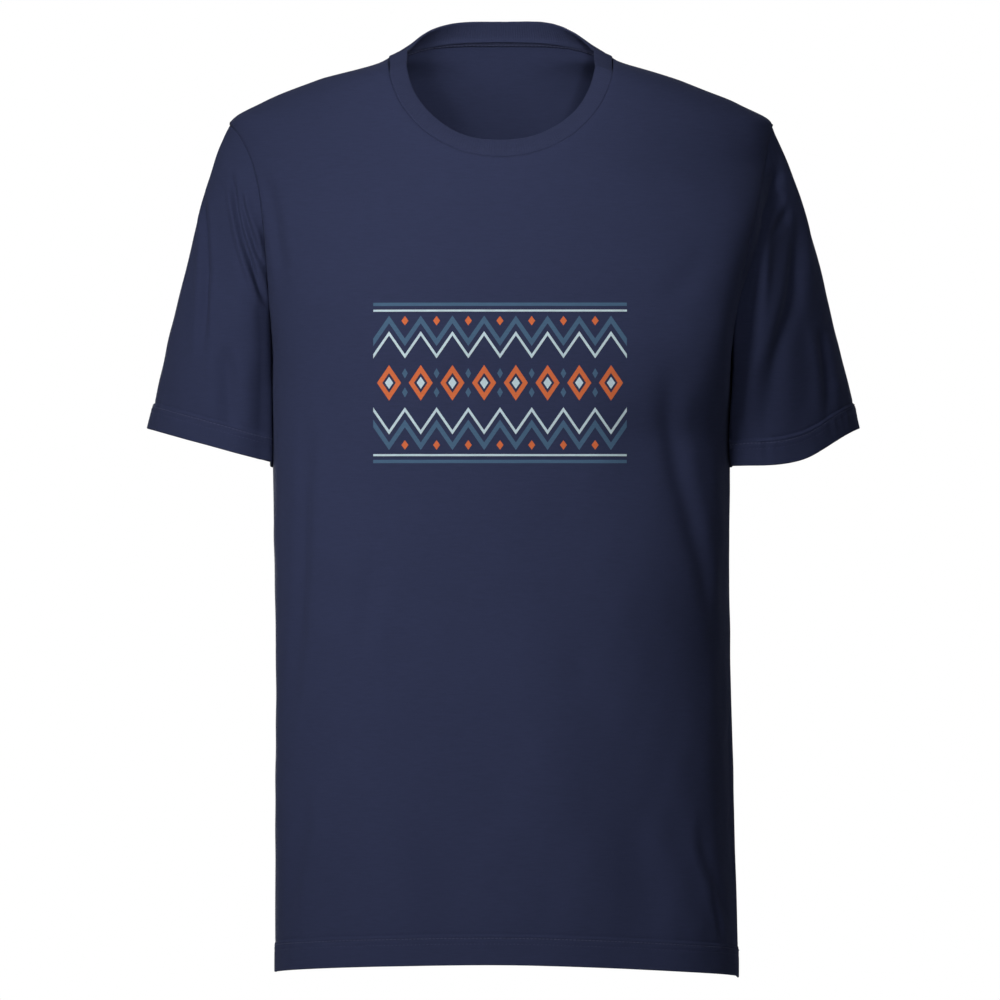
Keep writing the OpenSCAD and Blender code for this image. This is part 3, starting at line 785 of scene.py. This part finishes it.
def stitch_object(name, lines, pitch, stitch, radius, thread):
    """One mesh of stitches along several lines. Without a pitch, each step of a line is a stitch."""
    placed = [stitch_places(line, pitch, shut) if pitch else thread_places(line) for line, shut in lines]
    spots, runs = [np.concatenate(x) for x in zip(*placed)]
    if not stitch:
        stitch = float(np.mean([
            np.linalg.norm(np.diff(line, axis=0), axis=1).mean() for line, _ in lines]))
    mesh = bpy.data.meshes.new(name + "_places")
    mesh.from_pydata((spots * MM).tolist(), [], [])
    run = mesh.attributes.new("run", "FLOAT_VECTOR", "POINT")
    run.data.foreach_set("vector", runs.astype(np.float32).ravel())
    maker = bpy.data.objects.new(name + "_places", mesh)
    bpy.context.scene.collection.objects.link(maker)
    tree = group("stitch", stitch_tree)
    mod = maker.modifiers.new("Stitches", "NODES")
    mod.node_group = tree
    ids = {s.name: s.identifier for s in tree.interface.items_tree if s.in_out == "INPUT"}
    mod[ids["Stitch length"]] = stitch * MM
    mod[ids["Thread radius"]] = radius * MM
    mod[ids["Thread"]] = thread
    graph = bpy.context.evaluated_depsgraph_get()
    made = bpy.data.meshes.new_from_object(maker.evaluated_get(graph))
    maker.modifiers.remove(mod)
    bpy.data.objects.remove(maker)
    made.name = name
    obj = bpy.data.objects.new(name, made)
    bpy.context.scene.collection.objects.link(obj)
    return obj


# ---- body ----


def panel_rows():
    """Places up a panel's side edge, close together at the hem, and the row of the underarm."""
    side = 488.0  # millimetres from the hem to the underarm
    low = np.concatenate([np.arange(0, 28, 0.8), np.linspace(29, side, 104)]) / side * EDGE_UNDERARM
    arm = np.linspace(EDGE_UNDERARM, EDGE_TIP, ARM_STEPS + 1)[1:]
    top = np.linspace(EDGE_TIP, 1, 35)[1:]
    return np.concatenate([low, arm, top]), len(low) - 1


def torso_grid(form, side, depth):
    """One panel's outer face with its folds, seam ditches and puckers."""
    rows, arm = panel_rows()
    u, v = np.meshgrid(np.linspace(-1, 1, PANEL_COLUMNS), rows)
    p = form.panel(side, u, v)
    n = form.normal(side, p)
    edge = np.minimum(np.linalg.norm(p - p[:, :1], axis=-1), np.linalg.norm(p - p[:, -1:], axis=-1))
    lift = np.zeros(u.shape)
    for points, width, deep, lean, *fall in (FRONT_FOLDS if side == FRONT else BACK_FOLDS):
        flat = rounded_path(points)
        path = form.point(side, flat[:, 0], flat[:, 1])
        normals = form.normal(side, path)
        lift += fold_relief(p, path, normals, width, deep * depth, -side * lean, *fall)
    fall = smooth((-p[..., 2] - 120) / 560)
    lift += (0.5 + 1.1 * fall) * ripple(p, 3 if side == FRONT else 4, 95, 3.2)
    lift += 0.25 * ripple(p, 8 if side == FRONT else 9, 34, 1.6)
    lift *= smooth(edge / 14) * 0.75 + 0.25
    neck = np.linalg.norm(p - p[-1:], axis=-1)
    lift *= smooth(neck / 22)
    hem = np.linalg.norm(p - p[:1], axis=-1)
    run = arcs(p, 1)
    lift += gathers(run, np.abs(hem - 20), 21, 11, 0.26, 7)
    beside_arm = smooth((v - 0.55) / 0.1) * smooth((0.9 - v) / 0.05)
    lift += gathers(arcs(p, 0), edge, 22, 12, 0.16, 7) * beside_arm
    lift += gathers(run, neck, 23, 14, 0.22, 8)
    lift -= 0.6 * np.exp(-((edge / 1.4) ** 2)) + 0.7 * np.exp(-((neck / 2.0) ** 2))
    lift += hem_relief(hem, BODY_HEM_ROWS, 0.2 + 0.8 * smooth(edge / 14))
    return p + lift[..., None] * n, rows, arm


def share_edges(front, back):
    """The two panels meet exactly along their side and shoulder edges."""
    for j, inward in ((0, 1), (-1, -1)):
        middle = (front[:, j] + back[:, j]) / 2
        for grid in (front, back):
            move = middle - grid[:, j]
            for k in range(JOIN_COLUMNS):
                grid[:, j + inward * k] += move * (1 - smooth(np.array(k / JOIN_COLUMNS)))
    return front, back


def cloth_uv(grid):
    """Cloth places in millimetres: across from the centre, and up from the first row."""
    across = arcs(grid, 1)
    across = across - across[:, grid.shape[1] // 2][:, None]
    return np.stack([across, arcs(grid, 0)], -1)


class SHIRT_OT_body(bpy.types.Operator):
    """Make the front and back panels with their folds and turned-up hems"""

    bl_idname = "shirt.body"
    bl_label = "Body"

    def execute(self, context):
        form, depth = Form(context.scene.shirt_cut), context.scene.shirt_finish.fold_depth
        front, rows, arm = torso_grid(form, FRONT, depth)
        back, _, _ = torso_grid(form, BACK, depth)
        # the edges are joined but for the armholes, which stay open
        free = np.zeros((len(rows), 1, 1))
        free[arm + 1:arm + ARM_STEPS] = 1
        for grid, shared in zip((front, back), share_edges(front.copy(), back.copy())):
            grid[:] = shared * (1 - free) + grid * free
        front, back = settle(front), settle(back)
        MADE["grids"] = {FRONT: front, BACK: back, "arm": arm}
        for name, grid, side, nodes in (
            ("front_body", front, FRONT, ("front_panel", "front_hem")),
            ("back_body", back, BACK, ("back_panel", "back_hem")),
        ):
            flip = side == BACK
            n = grid_normals(grid, False, flip)
            n[:, 0], n[:, -1] = (-1, 0, 0), (1, 0, 0)
            full = turned_hem(grid, n, form.bottom_hem, HEM_ROLL)
            obj = shell_object(name, full, form.jersey, material("jersey"), False, flip, cloth_uv(full))
            finish_piece(obj, "jersey", *nodes)
        return {"FINISHED"}


# ---- sleeves ----


def sleeve_grid(form, mirror, folds, depth):
    """One sleeve's outer face, from the armhole to its edge: shaped on the left, then turned to its side."""
    grids = MADE["grids"]
    j = 0 if mirror else -1
    arm = slice(grids["arm"], grids["arm"] + ARM_STEPS + 1)
    edge = np.concatenate([grids[FRONT][arm, j][::-1], grids[BACK][arm, j][1:]])
    turns = np.concatenate([
        np.linspace(0, 180, SLEEVE_FRONT + 1)[:-1], np.linspace(180, 360, SLEEVE_BACK + 1)[:-1]])
    rim = along_line(turns, np.linspace(0, 360, len(edge)), edge)
    ts = np.concatenate([
        [0, 0.006, 0.013, 0.022], np.linspace(0.034, 0.885, 74), np.linspace(0.885, 1, 36)[1:]])
    turn, t = np.meshgrid(turns, ts)
    form.hand, form.twist = (-1, 14.0) if mirror else (1, 18.0)
    p = form.sleeve(turn, t)
    n = grid_normals(p, True, False)
    lift = np.zeros(t.shape)
    ahead = n[..., 1] < -0.05
    seen, facing = p[ahead], n[ahead]
    for points, width, deep, lean in folds:
        flat = rounded_path(points)
        flat[:, 0] = np.abs(flat[:, 0])
        k = np.argmin(((seen[:, None, ::2] - flat) ** 2).sum(-1), axis=0)
        path = np.stack([flat[:, 0], seen[k, 1], flat[:, 1]], -1)
        lift += fold_relief(p, path, facing[k], width, deep * depth, lean)
    for points, width, deep, lean in SLEEVE_BACK_FOLDS:
        flat = rounded_path(points)
        path = form.sleeve(flat[:, 0], flat[:, 1])
        a, b = form.sleeve(flat[:, 0] + 1, flat[:, 1]), form.sleeve(flat[:, 0], flat[:, 1] + 0.01)
        lift += fold_relief(p, path, unit(np.cross(a - path, b - path)), width, deep * depth, lean)
    near = np.linalg.norm(p - p[:1], axis=-1)
    end = np.linalg.norm(p - p[-1:], axis=-1)
    lift += 0.55 * ripple(p, 31 + mirror, 60, 2.2) + 0.2 * ripple(p, 33 + mirror, 26, 1.4)
    lift *= smooth(near / 10)
    # the sleeve falls away behind the armhole's edge
    tuck = (0.0 if mirror else 13.0) * np.sin(np.radians(np.clip(turn, 0, 180))) ** 0.8
    p[..., 1] += tuck * smooth(t / 0.09) * (1 - smooth(t / 0.75))
    run = arcs(p, 1)
    lift += gathers(run, near, 35 + mirror, 12, 0.16, 7) - 0.15 * np.exp(-((near / 1.4) ** 2))
    lift += gathers(run, np.abs(end - 14), 37 + mirror, 11, 0.28, 8)
    lift += hem_relief(end, SLEEVE_HEM_ROWS)
    p = p + lift[..., None] * n
    hand = -1.0 if mirror else 1.0
    p[..., 0] *= hand
    p = settle(p)
    p += (rim - p[0])[None] * (1 - smooth(t / 0.10))[..., None]
    # the underarm side lies against the body and never in it
    wall = form.side_x(p[..., 1], p[..., 2]) + (0.4 if mirror else 0.9) * smooth((t - 0.05) / 0.3)
    gap = hand * p[..., 0] - wall
    under = smooth((turn - 90) / 30) * smooth((200 - turn) / 20)
    close = gap * (1 - under * (1 - smooth(gap / 12)))
    low = smooth((turn - 75) / 45) * smooth((285 - turn) / 45)
    p[..., 0] += hand * (np.where(gap > 0, close, 0) - gap) * smooth(t / 0.05) * low
    return p


class SHIRT_OT_sleeves(bpy.types.Operator):
    """Make the two set-in sleeves with their folds and turned-up hems"""

    bl_idname = "shirt.sleeves"
    bl_label = "Sleeves"

    def execute(self, context):
        form, depth = Form(context.scene.shirt_cut), context.scene.shirt_finish.fold_depth
        sides = (("left", 0, LEFT_SLEEVE_FOLDS), ("right", 1, RIGHT_SLEEVE_FOLDS))
        for side, mirror, folds in sides:
            # rows run from the edge up to the armhole, so columns run the other way round
            grid = sleeve_grid(form, mirror, folds, depth)[::-1, ::-1].copy()
            flip = bool(mirror)
            full = turned_hem(grid, grid_normals(grid, True, flip), form.sleeve_hem, HEM_ROLL)
            uv = np.stack([arcs(full, 1), arcs(full, 0)], -1)
            obj = shell_object(side + "_arm", full, form.jersey, material("jersey"), True, flip, uv)
            finish_piece(obj, "jersey", side + "_sleeve", side + "_sleeve_hem")
            MADE["grids"][side] = grid
        return {"FINISHED"}


# ---- neckband and inside trim ----


def neck_loop(turns):
    """Seam of the neckband on the made panels, and the band's direction and outside there."""
    grids = MADE["grids"]
    loop = []
    for side, around in ((FRONT, lambda a: a), (BACK, lambda a: 180 - a)):
        top = grids[side][-1]
        x = top[:, 0] / np.where(top[:, 0] < 0, -top[0, 0], top[-1, 0])
        x = np.clip(x, -1, 1)
        loop.append((around(np.degrees(np.arcsin(x))), top))
    angle = np.concatenate([a % 360 for a, _ in loop])
    points = np.concatenate([p for _, p in loop])
    order = np.argsort(angle)
    angle, points = angle[order], points[order]
    keep = np.concatenate([[True], np.diff(angle) > 0.05])
    angle, points = angle[keep], points[keep]
    angle = np.concatenate([angle - 360, angle, angle + 360])
    points = np.concatenate([points] * 3)
    seam = along_line(turns, angle, points)
    c = np.cos(np.radians(turns))
    lean = np.radians(20 + (np.where(c >= 0, 56, 78) - 20) * c**2)
    inward = unit(np.stack([-seam[:, 0], -seam[:, 1], 0 * seam[:, 0]], -1))
    up = np.array([0, 0, 1.0])
    along = np.cos(lean)[:, None] * inward + np.sin(lean)[:, None] * up
    out = np.cos(lean)[:, None] * up - np.sin(lean)[:, None] * inward
    return seam, along, out


class SHIRT_OT_neckband(bpy.types.Operator):
    """Make the ribbed neckband, folded along its free edge"""

    bl_idname = "shirt.neckband"
    bl_label = "Neckband"

    def execute(self, context):
        form = Form(context.scene.shirt_cut)
        pitch = 1000 * context.scene.shirt_finish.rib_pitch
        coarse = np.linspace(0, 360, 721)
        seam, along, _ = neck_loop(coarse)
        middle = seam + along * form.rib_width / 2
        run = run_along(middle)
        count = 4 * int(run[-1] / pitch)
        place = np.arange(count) / count * run[-1]
        turns = np.interp(place, run, coarse)
        seam, along, out = neck_loop(turns)
        w, r = form.rib_width, form.rib_thickness / 2
        face = 1.15  # millimetres that the band's face stands off the seam
        inside = face - 2 * r
        # the band's section: place along it, place out of it, share of the ribs' relief
        section = [
            (-0.9, -1.6, 0), (-0.55, -0.8, 0), (-0.15, 0.1, 0), (0.25, face - 0.3, 0.3), (0.9, face, 0.8)]
        for a in np.linspace(2, w - r - 0.5, 7):
            section.append((a, face + 0.35 * math.sin(math.pi * a / w), 1))
        for a in np.radians([90, 60, 30, 0, -30, -60, -90]):
            section.append((w - r + r * math.cos(a), face - r + r * math.sin(a), 1))
        for a in np.linspace(w - r - 1.5, 3.5, 6):
            section.append((a, inside + 0.25 * math.sin(math.pi * a / w), -1))
        section += [
            (1.0, inside - 0.3, -0.4), (-0.8, -2.1, 0), (-2.4, -2.3, 0), (-3.2, -2.0, 0), (-2.8, -1.75, 0)]
        wave = np.cos(2 * np.pi * np.arange(count) / 4)
        swing = 0.35 * np.sin(np.radians(turns) * 5 + 0.7) + 0.25 * np.sin(np.radians(turns) * 9 + 2.0)
        c = np.cos(np.radians(turns))
        flare = np.where(c < 0, 0.35 + 1.4 * (1 - c**2), 1 + 0.75 * (1 - c**2))
        rows = []
        for a, o, ridge in section:
            a = a * flare if o < -1.7 else a + 0 * flare
            drop = np.clip(a / w, 0, 1)
            rise = o + 0.20 * ridge * wave + drop**2 * swing
            rows.append(seam + (a + drop * 0.5 * swing)[:, None] * along + rise[:, None] * out)
        grid = np.array(rows)
        n, m = grid.shape[:2]
        i, j = np.meshgrid(np.arange(n), np.arange(m), indexing="ij")
        i2, j2 = (i + 1) % n, (j + 1) % m
        faces = np.stack([i * m + j, i * m + j2, i2 * m + j2, i2 * m + j], -1).reshape(-1, 4)
        around = run_along(np.array(section)[:, :2])
        uv = np.stack(np.broadcast_arrays(place[None, :], around[:, None]), -1).reshape(-1, 2)
        obj = mesh_object("neck_rib", grid.reshape(-1, 3) * MM, faces, material("rib"), uv)
        finish_piece(obj, "rib", "neckband")
        return {"FINISHED"}


def edge_strip(grid, normals, rows, j, distances, inset):
    """Points inside a panel at given distances in from one of its side edges."""
    step, columns = (-1 if j else 1), 40
    part, face = grid[rows, ::step][:, :columns], normals[rows, ::step][:, :columns]
    run = arcs(part, 1)
    lines = []
    for p, n, r in zip(part, face, run):
        lines.append(along_line(distances, r, p) - inset * unit(along_line(distances, r, n)))
    return np.array(lines)


def strip_object(name, grid, thickness, slot, *nodes):
    """A tape or an overlocked allowance from the grid of its outer face, which looks out of the shirt."""
    n = grid_normals(grid, False, False)
    flip = (n * grid * [1, 1, 0]).sum() < 0
    uv = np.stack([arcs(grid, 1), arcs(grid, 0)], -1)
    obj = shell_object(name, grid, thickness, material("tape"), False, bool(flip), uv)
    return finish_piece(obj, slot, *nodes)


def zigzag(inner, outer, pitch):
    """A thread that runs to and fro between two lines."""
    a, _ = stitch_places(inner, pitch)
    b, _ = stitch_places(outer, pitch)
    count = min(len(a), len(b))
    path = np.empty((2 * count, 3))
    path[0::2], path[1::2] = a[:count], b[:count]
    return path


class SHIRT_OT_trim(bpy.types.Operator):
    """Make the neck and shoulder tapes and the overlocked seams inside"""

    bl_idname = "shirt.trim"
    bl_label = "Tapes and seams"

    def execute(self, context):
        form, grids = Form(context.scene.shirt_cut), MADE["grids"]
        arm = grids["arm"]
        face = {s: grid_normals(grids[s], False, s == BACK) for s in (FRONT, BACK)}
        inset = form.jersey + 0.25
        joined = np.concatenate([grids[BACK], face[BACK]], -1)[::-1]
        rows = [level_line(joined, d) for d in np.linspace(form.neck_tape_width, 1.9, 5)]
        grid = np.array([r[:, :3] - inset * unit(r[:, 3:]) for r in rows])[:, 2:-2]
        obj = strip_object("neck_tape", grid, TAPE_THICKNESS, "tape", "back_neck_tape")
        tape_face = grid - (TAPE_THICKNESS + 0.1) * unit(np.array([r[:, 3:] for r in rows])[:, 2:-2])
        MADE["tape_lines"] = [(level_line(tape_face, 0.9), False)]
        MADE["overlock"] = []
        for side, j in (("left", -1), ("right", 0)):
            top = slice(arm + ARM_STEPS + 1, len(grids[FRONT]) - 3)
            half = np.linspace(form.tape_width / 2, 0.4, 4)
            parts = [edge_strip(grids[s], face[s], top, j, half, inset) for s in (FRONT, BACK)]
            strip = np.concatenate([parts[0], parts[1][:, ::-1]], 1)
            strip_object(side + "_shoulder_strip", strip, TAPE_THICKNESS, "tape", side + "_shoulder_tape")
            n = grid_normals(strip, False, False)
            n = n if n[..., 2].mean() > 0 else -n
            under = strip - (TAPE_THICKNESS + 0.1) * n
            MADE["tape_lines"] += [(under[:, 1], False), (under[:, -2], False)]
            across = np.linspace(0.4, form.allowance, 5)
            runs = [
                ("side", BACK, slice(20, arm - 1), (side + "_side_seam",)),
                ("front_armhole", FRONT, slice(arm + 1, arm + ARM_STEPS), (side + "_armhole_seam",)),
                ("back_armhole", BACK, slice(arm + 1, arm + ARM_STEPS), ()),
            ]
            under_thread = inset + ALLOWANCE_THICKNESS + THREAD_LIFT
            for label, s, rows, nodes in runs:
                strip = edge_strip(grids[s], face[s], rows, j, across, inset)
                name = side + "_" + label + "_allowance"
                strip_object(name, strip, ALLOWANCE_THICKNESS, "overlock", *nodes)
                inner = edge_strip(grids[s], face[s], rows, j, across, under_thread)
                MADE["overlock"].append(zigzag(inner[:, 1], inner[:, -1], OVERLOCK_PITCH))
            sleeve = grids[side]
            n = grid_normals(sleeve, True, side == "right")
            part = slice(10, len(sleeve) - 6), slice(SLEEVE_BACK - 3, SLEEVE_BACK)
            name = side + "_underarm_allowance"
            strip = (sleeve - inset * n)[part]
            strip_object(name, strip, ALLOWANCE_THICKNESS, "overlock", side + "_sleeve_seam")
            inner = (sleeve - under_thread * n)[part]
            MADE["overlock"].append(zigzag(inner[:, 0], inner[:, -1], OVERLOCK_PITCH))
        return {"FINISHED"}


class SHIRT_OT_stitches(bpy.types.Operator):
    """Sew the hems, tapes and seams"""

    bl_idname = "shirt.stitches"
    bl_label = "Stitches"

    def execute(self, context):
        finish, grids = context.scene.shirt_finish, MADE["grids"]
        stitch, radius = 1000 * finish.stitch, 1000 * finish.thread_radius
        thread = material("thread")
        hems = []
        for key, closed, flip, places in (
            (FRONT, False, False, BODY_HEM_ROWS), (BACK, False, True, BODY_HEM_ROWS),
            ("left", True, False, SLEEVE_HEM_ROWS), ("right", True, True, SLEEVE_HEM_ROWS),
        ):
            grid = grids[key]
            joined = np.concatenate([grid, grid_normals(grid, closed, flip)], -1)
            for d in places:
                line = level_line(joined, d)
                proud = 0.16 if d == places[1] else -0.30
                hems.append((line[:, :3] + proud * unit(line[:, 3:]), closed))
        obj = stitch_object("hem_stitches", hems, stitch, stitch * 0.9, 1.5 * radius, thread)
        finish_piece(obj, "jersey")
        obj = stitch_object("tape_stitches", MADE["tape_lines"], stitch, stitch * 0.86, radius, thread)
        finish_piece(obj, "tape")
        obj = stitch_object("overlock_threads", [(p, False) for p in MADE["overlock"]], 0, 0, radius, thread)
        finish_piece(obj, "overlock")
        return {"FINISHED"}


# ---- chest band ----


def band_shapes():
    """The chest band's strips by ink: each its two long edges, in millimetres from the band's middle."""
    step, count = 25.0, 8
    left = -step * count / 2
    shapes = {"pale": [], "slate": [], "warm": []}

    def strip(ink, low, high):
        shapes[ink].append((np.array(low, float), np.array(high, float)))

    def zig(ink, z, rise, width, flip):
        xs = [left + step / 2 * i for i in range(2 * count + 1)]
        zs = [z + (rise if (i % 2 == 0) != flip else -rise) for i in range(2 * count + 1)]
        strip(ink, *[[(x, q + w) for x, q in zip(xs, zs)] for w in (-width / 2, width / 2)])

    def bar(ink, z, width):
        strip(ink, *[[(left, z + w), (-left, z + w)] for w in (-width / 2, width / 2)])

    def diamond(ink, x, z, wide, tall):
        strip(ink, [(x - wide / 2, z), (x, z - tall / 2), (x + wide / 2, z)],
              [(x - wide / 2, z), (x, z + tall / 2), (x + wide / 2, z)])

    def ring(ink, x, z, wide, tall, share):
        for s in (1, -1):
            strip(ink, [(x - wide / 2, z), (x, z + s * tall / 2), (x + wide / 2, z)][::s],
                  [(x - share * wide / 2, z), (x, z + s * share * tall / 2), (x + share * wide / 2, z)][::s])

    for s in (1, -1):
        bar("slate", s * 62, 2.6)
        bar("pale", s * 57, 1.6)
        zig("slate", s * 41, 9, 6.0, s > 0)
        zig("pale", s * 30, 9, 3.4, s > 0)
    for i in range(count):
        x = left + step * (i + 0.5)
        ring("warm", x, 0, 19, 28, 0.56)
        diamond("pale", x, 0, 6.5, 9.5)
    for i in range(1, count):
        x = left + step * i
        for s in (1, -1):
            diamond("warm", x, s * 49, 5.5, 7.5)
            diamond("slate", x, s * 7.5, 4.5, 8)
    return shapes


def fill_strip(low, high, cell):
    """Quads between two edges, small enough to follow the cloth."""
    points, faces = [], []
    for a, b, c, d in zip(low[:-1], low[1:], high[1:], high[:-1]):
        across = max(int(np.ceil(np.linalg.norm(b - a) / cell)), 1)
        up = max(int(np.ceil(max(np.linalg.norm(d - a), np.linalg.norm(c - b)) / cell)), 1)
        s, t = np.meshgrid(np.linspace(0, 1, across + 1), np.linspace(0, 1, up + 1))
        s, t = s[..., None], t[..., None]
        grid = (a * (1 - s) + b * s) * (1 - t) + (d * (1 - s) + c * s) * t
        base = sum(len(p) for p in points)
        i, j = np.meshgrid(np.arange(up), np.arange(across), indexing="ij")
        k = base + i * (across + 1) + j
        faces.append(np.stack([k, k + 1, k + across + 2, k + across + 1], -1).reshape(-1, 4))
        points.append(grid.reshape(-1, 2))
    return np.concatenate(points), np.concatenate(faces)


class SHIRT_OT_band(bpy.types.Operator):
    """Print the band of zigzags and diamonds on the chest"""

    bl_idname = "shirt.band"
    bl_label = "Chest band"

    def execute(self, context):
        body = bpy.data.objects["front_body"]
        graph = context.evaluated_depsgraph_get()
        cloth = BVHTree.FromObject(body, graph)
        for ink, strips in band_shapes().items():
            points, faces, base = [], [], 0
            for low, high in strips:
                p, f = fill_strip(low, high, BAND_CELL)
                points.append(p)
                faces.append(f + base)
                base += len(p)
            flat, faces = np.concatenate(points), np.concatenate(faces)
            spots = []
            for x, z in (flat + BAND_CENTRE) * MM:
                hit, normal, _, _ = cloth.ray_cast(Vector((x, -1.0, z)), Vector((0, 1, 0)))
                if hit is None:
                    raise RuntimeError("the chest band runs off the cloth")
                spots.append(tuple(hit + normal * INK_HEIGHT * MM))
            obj = mesh_object("chest_band_" + ink, np.array(spots), faces, material(ink), flat)
            finish_piece(obj, "jersey")
        return {"FINISHED"}


# ---- stage ----


def seen_ray(tree):
    """1 for what the camera sees, straight or in a reflection."""
    path = tree.nodes.new("ShaderNodeLightPath")
    seen = math_node(tree, "MAXIMUM", path.outputs["Is Camera Ray"], path.outputs["Is Glossy Ray"])
    return math_node(tree, "MAXIMUM", seen, path.outputs["Is Transmission Ray"])


def mix_shaders(tree, fac, first, second, output):
    """Shows the second shader where the factor says, and the first elsewhere."""
    mix = new_node(tree, "ShaderNodeMixShader", {0: fac, 1: first, 2: second})
    tree.links.new(mix.outputs[0], output.inputs[0])


def studio_world():
    """White where it is seen, and dim as a light."""
    world = bpy.data.worlds.new("Studio")
    world.use_nodes = True
    tree = world.node_tree
    tree.nodes.clear()
    dim, white = [
        new_node(tree, "ShaderNodeBackground", {"Color": (1, 1, 1, 1), "Strength": strength})
        for strength in (0.035, 1.0)]
    out = tree.nodes.new("ShaderNodeOutputWorld")
    mix_shaders(tree, seen_ray(tree), dim.outputs[0], white.outputs[0], out)
    return world


def floor_material():
    """A pale floor that fades to white away from the shirt."""
    mat = bpy.data.materials.new("Pale floor")
    mat.use_nodes = True
    tree = mat.node_tree
    calc = partial(math_node, tree)
    shader = tree.nodes["Principled BSDF"]
    shader.inputs["Base Color"].default_value = (0.82, 0.82, 0.82, 1)
    shader.inputs["Roughness"].default_value = 0.9
    shader.inputs["Specular IOR Level"].default_value = 0.1
    place = tree.nodes.new("ShaderNodeTexCoord").outputs["Object"]
    flat = new_node(tree, "ShaderNodeVectorMath", {0: place, 1: (1, 1, 0)}, operation="MULTIPLY")
    far = new_node(tree, "ShaderNodeVectorMath", {0: flat.outputs[0]}, operation="LENGTH")
    fade = calc("DIVIDE", calc("SUBTRACT", far.outputs["Value"], 0.32), 0.5, True)
    fade = calc("ADD", calc("MULTIPLY", fade, 0.45), 0.55)
    seen = calc("MULTIPLY", fade, seen_ray(tree))
    glow = new_node(tree, "ShaderNodeEmission", {"Strength": 1.0})
    mix_shaders(tree, seen, shader.outputs[0], glow.outputs[0], tree.nodes["Material Output"])
    return mat


class SHIRT_OT_stage(bpy.types.Operator):
    """Make the floor, the studio light and the camera"""

    bl_idname = "shirt.stage"
    bl_label = "Stage"

    def execute(self, context):
        scene = context.scene
        scene.view_settings.view_transform = "Standard"
        scene.world = studio_world()

        turns = np.linspace(0, 2 * math.pi, FLOOR_SIDES + 1)[:-1]
        rim = [(FLOOR_RADIUS * math.cos(a), FLOOR_RADIUS * math.sin(a), FLOOR_LEVEL) for a in turns]
        floor = bpy.data.objects.new("floor", bpy.data.meshes.new("floor"))
        floor.data.from_pydata(rim, [], [list(range(FLOOR_SIDES))])
        floor.data.materials.append(floor_material())
        scene.collection.objects.link(floor)

        for name, at, aim, size, spread, watts in LAMPS:
            lamp = bpy.data.lights.new(name, "AREA")
            lamp.energy, lamp.shape, lamp.spread = watts, "RECTANGLE", math.radians(spread)
            lamp.size, lamp.size_y = size
            obj = bpy.data.objects.new(name, lamp)
            obj.location = at
            obj.rotation_euler = (Vector(aim) - Vector(at)).to_track_quat("-Z", "Y").to_euler()
            scene.collection.objects.link(obj)

        lens = bpy.data.cameras.new("camera")
        lens.sensor_width, lens.lens, lens.clip_end = CAMERA_SENSOR, CAMERA_LENS, 60
        camera = bpy.data.objects.new("camera", lens)
        camera.location = CAMERA_PLACE
        camera.rotation_euler = (math.pi / 2, 0, 0)
        scene.collection.objects.link(camera)
        scene.camera = camera
        return {"FINISHED"}


class SHIRT_PT_panel(bpy.types.Panel):
    """Lists the shirt's settings and steps."""

    bl_label = "T-shirt"
    bl_idname = "SHIRT_PT_panel"
    bl_space_type = "VIEW_3D"
    bl_region_type = "UI"
    bl_category = "T-shirt"

    def draw(self, context):
        for settings in (context.scene.shirt_cut, context.scene.shirt_finish):
            for name in settings.__annotations__:
                self.layout.prop(settings, name)
        for operator in OPERATORS:
            self.layout.operator(operator.bl_idname)


OPERATORS = (
    SHIRT_OT_body, SHIRT_OT_sleeves, SHIRT_OT_neckband, SHIRT_OT_trim,
    SHIRT_OT_stitches, SHIRT_OT_band, SHIRT_OT_stage,
)
CLASSES = (ShirtCut, ShirtFinish, *OPERATORS, SHIRT_PT_panel)


def register():
    for item in CLASSES:
        bpy.utils.register_class(item)
    bpy.types.Scene.shirt_cut = bpy.props.PointerProperty(type=ShirtCut)
    bpy.types.Scene.shirt_finish = bpy.props.PointerProperty(type=ShirtFinish)


def unregister():
    del bpy.types.Scene.shirt_finish
    del bpy.types.Scene.shirt_cut
    for item in reversed(CLASSES):
        bpy.utils.unregister_class(item)


def main():
    register()
    bpy.ops.shirt.body()
    bpy.ops.shirt.sleeves()
    bpy.ops.shirt.neckband()
    bpy.ops.shirt.trim()
    bpy.ops.shirt.stitches()
    bpy.ops.shirt.band()
    bpy.ops.shirt.stage()


if __name__ == "__main__":
    main()
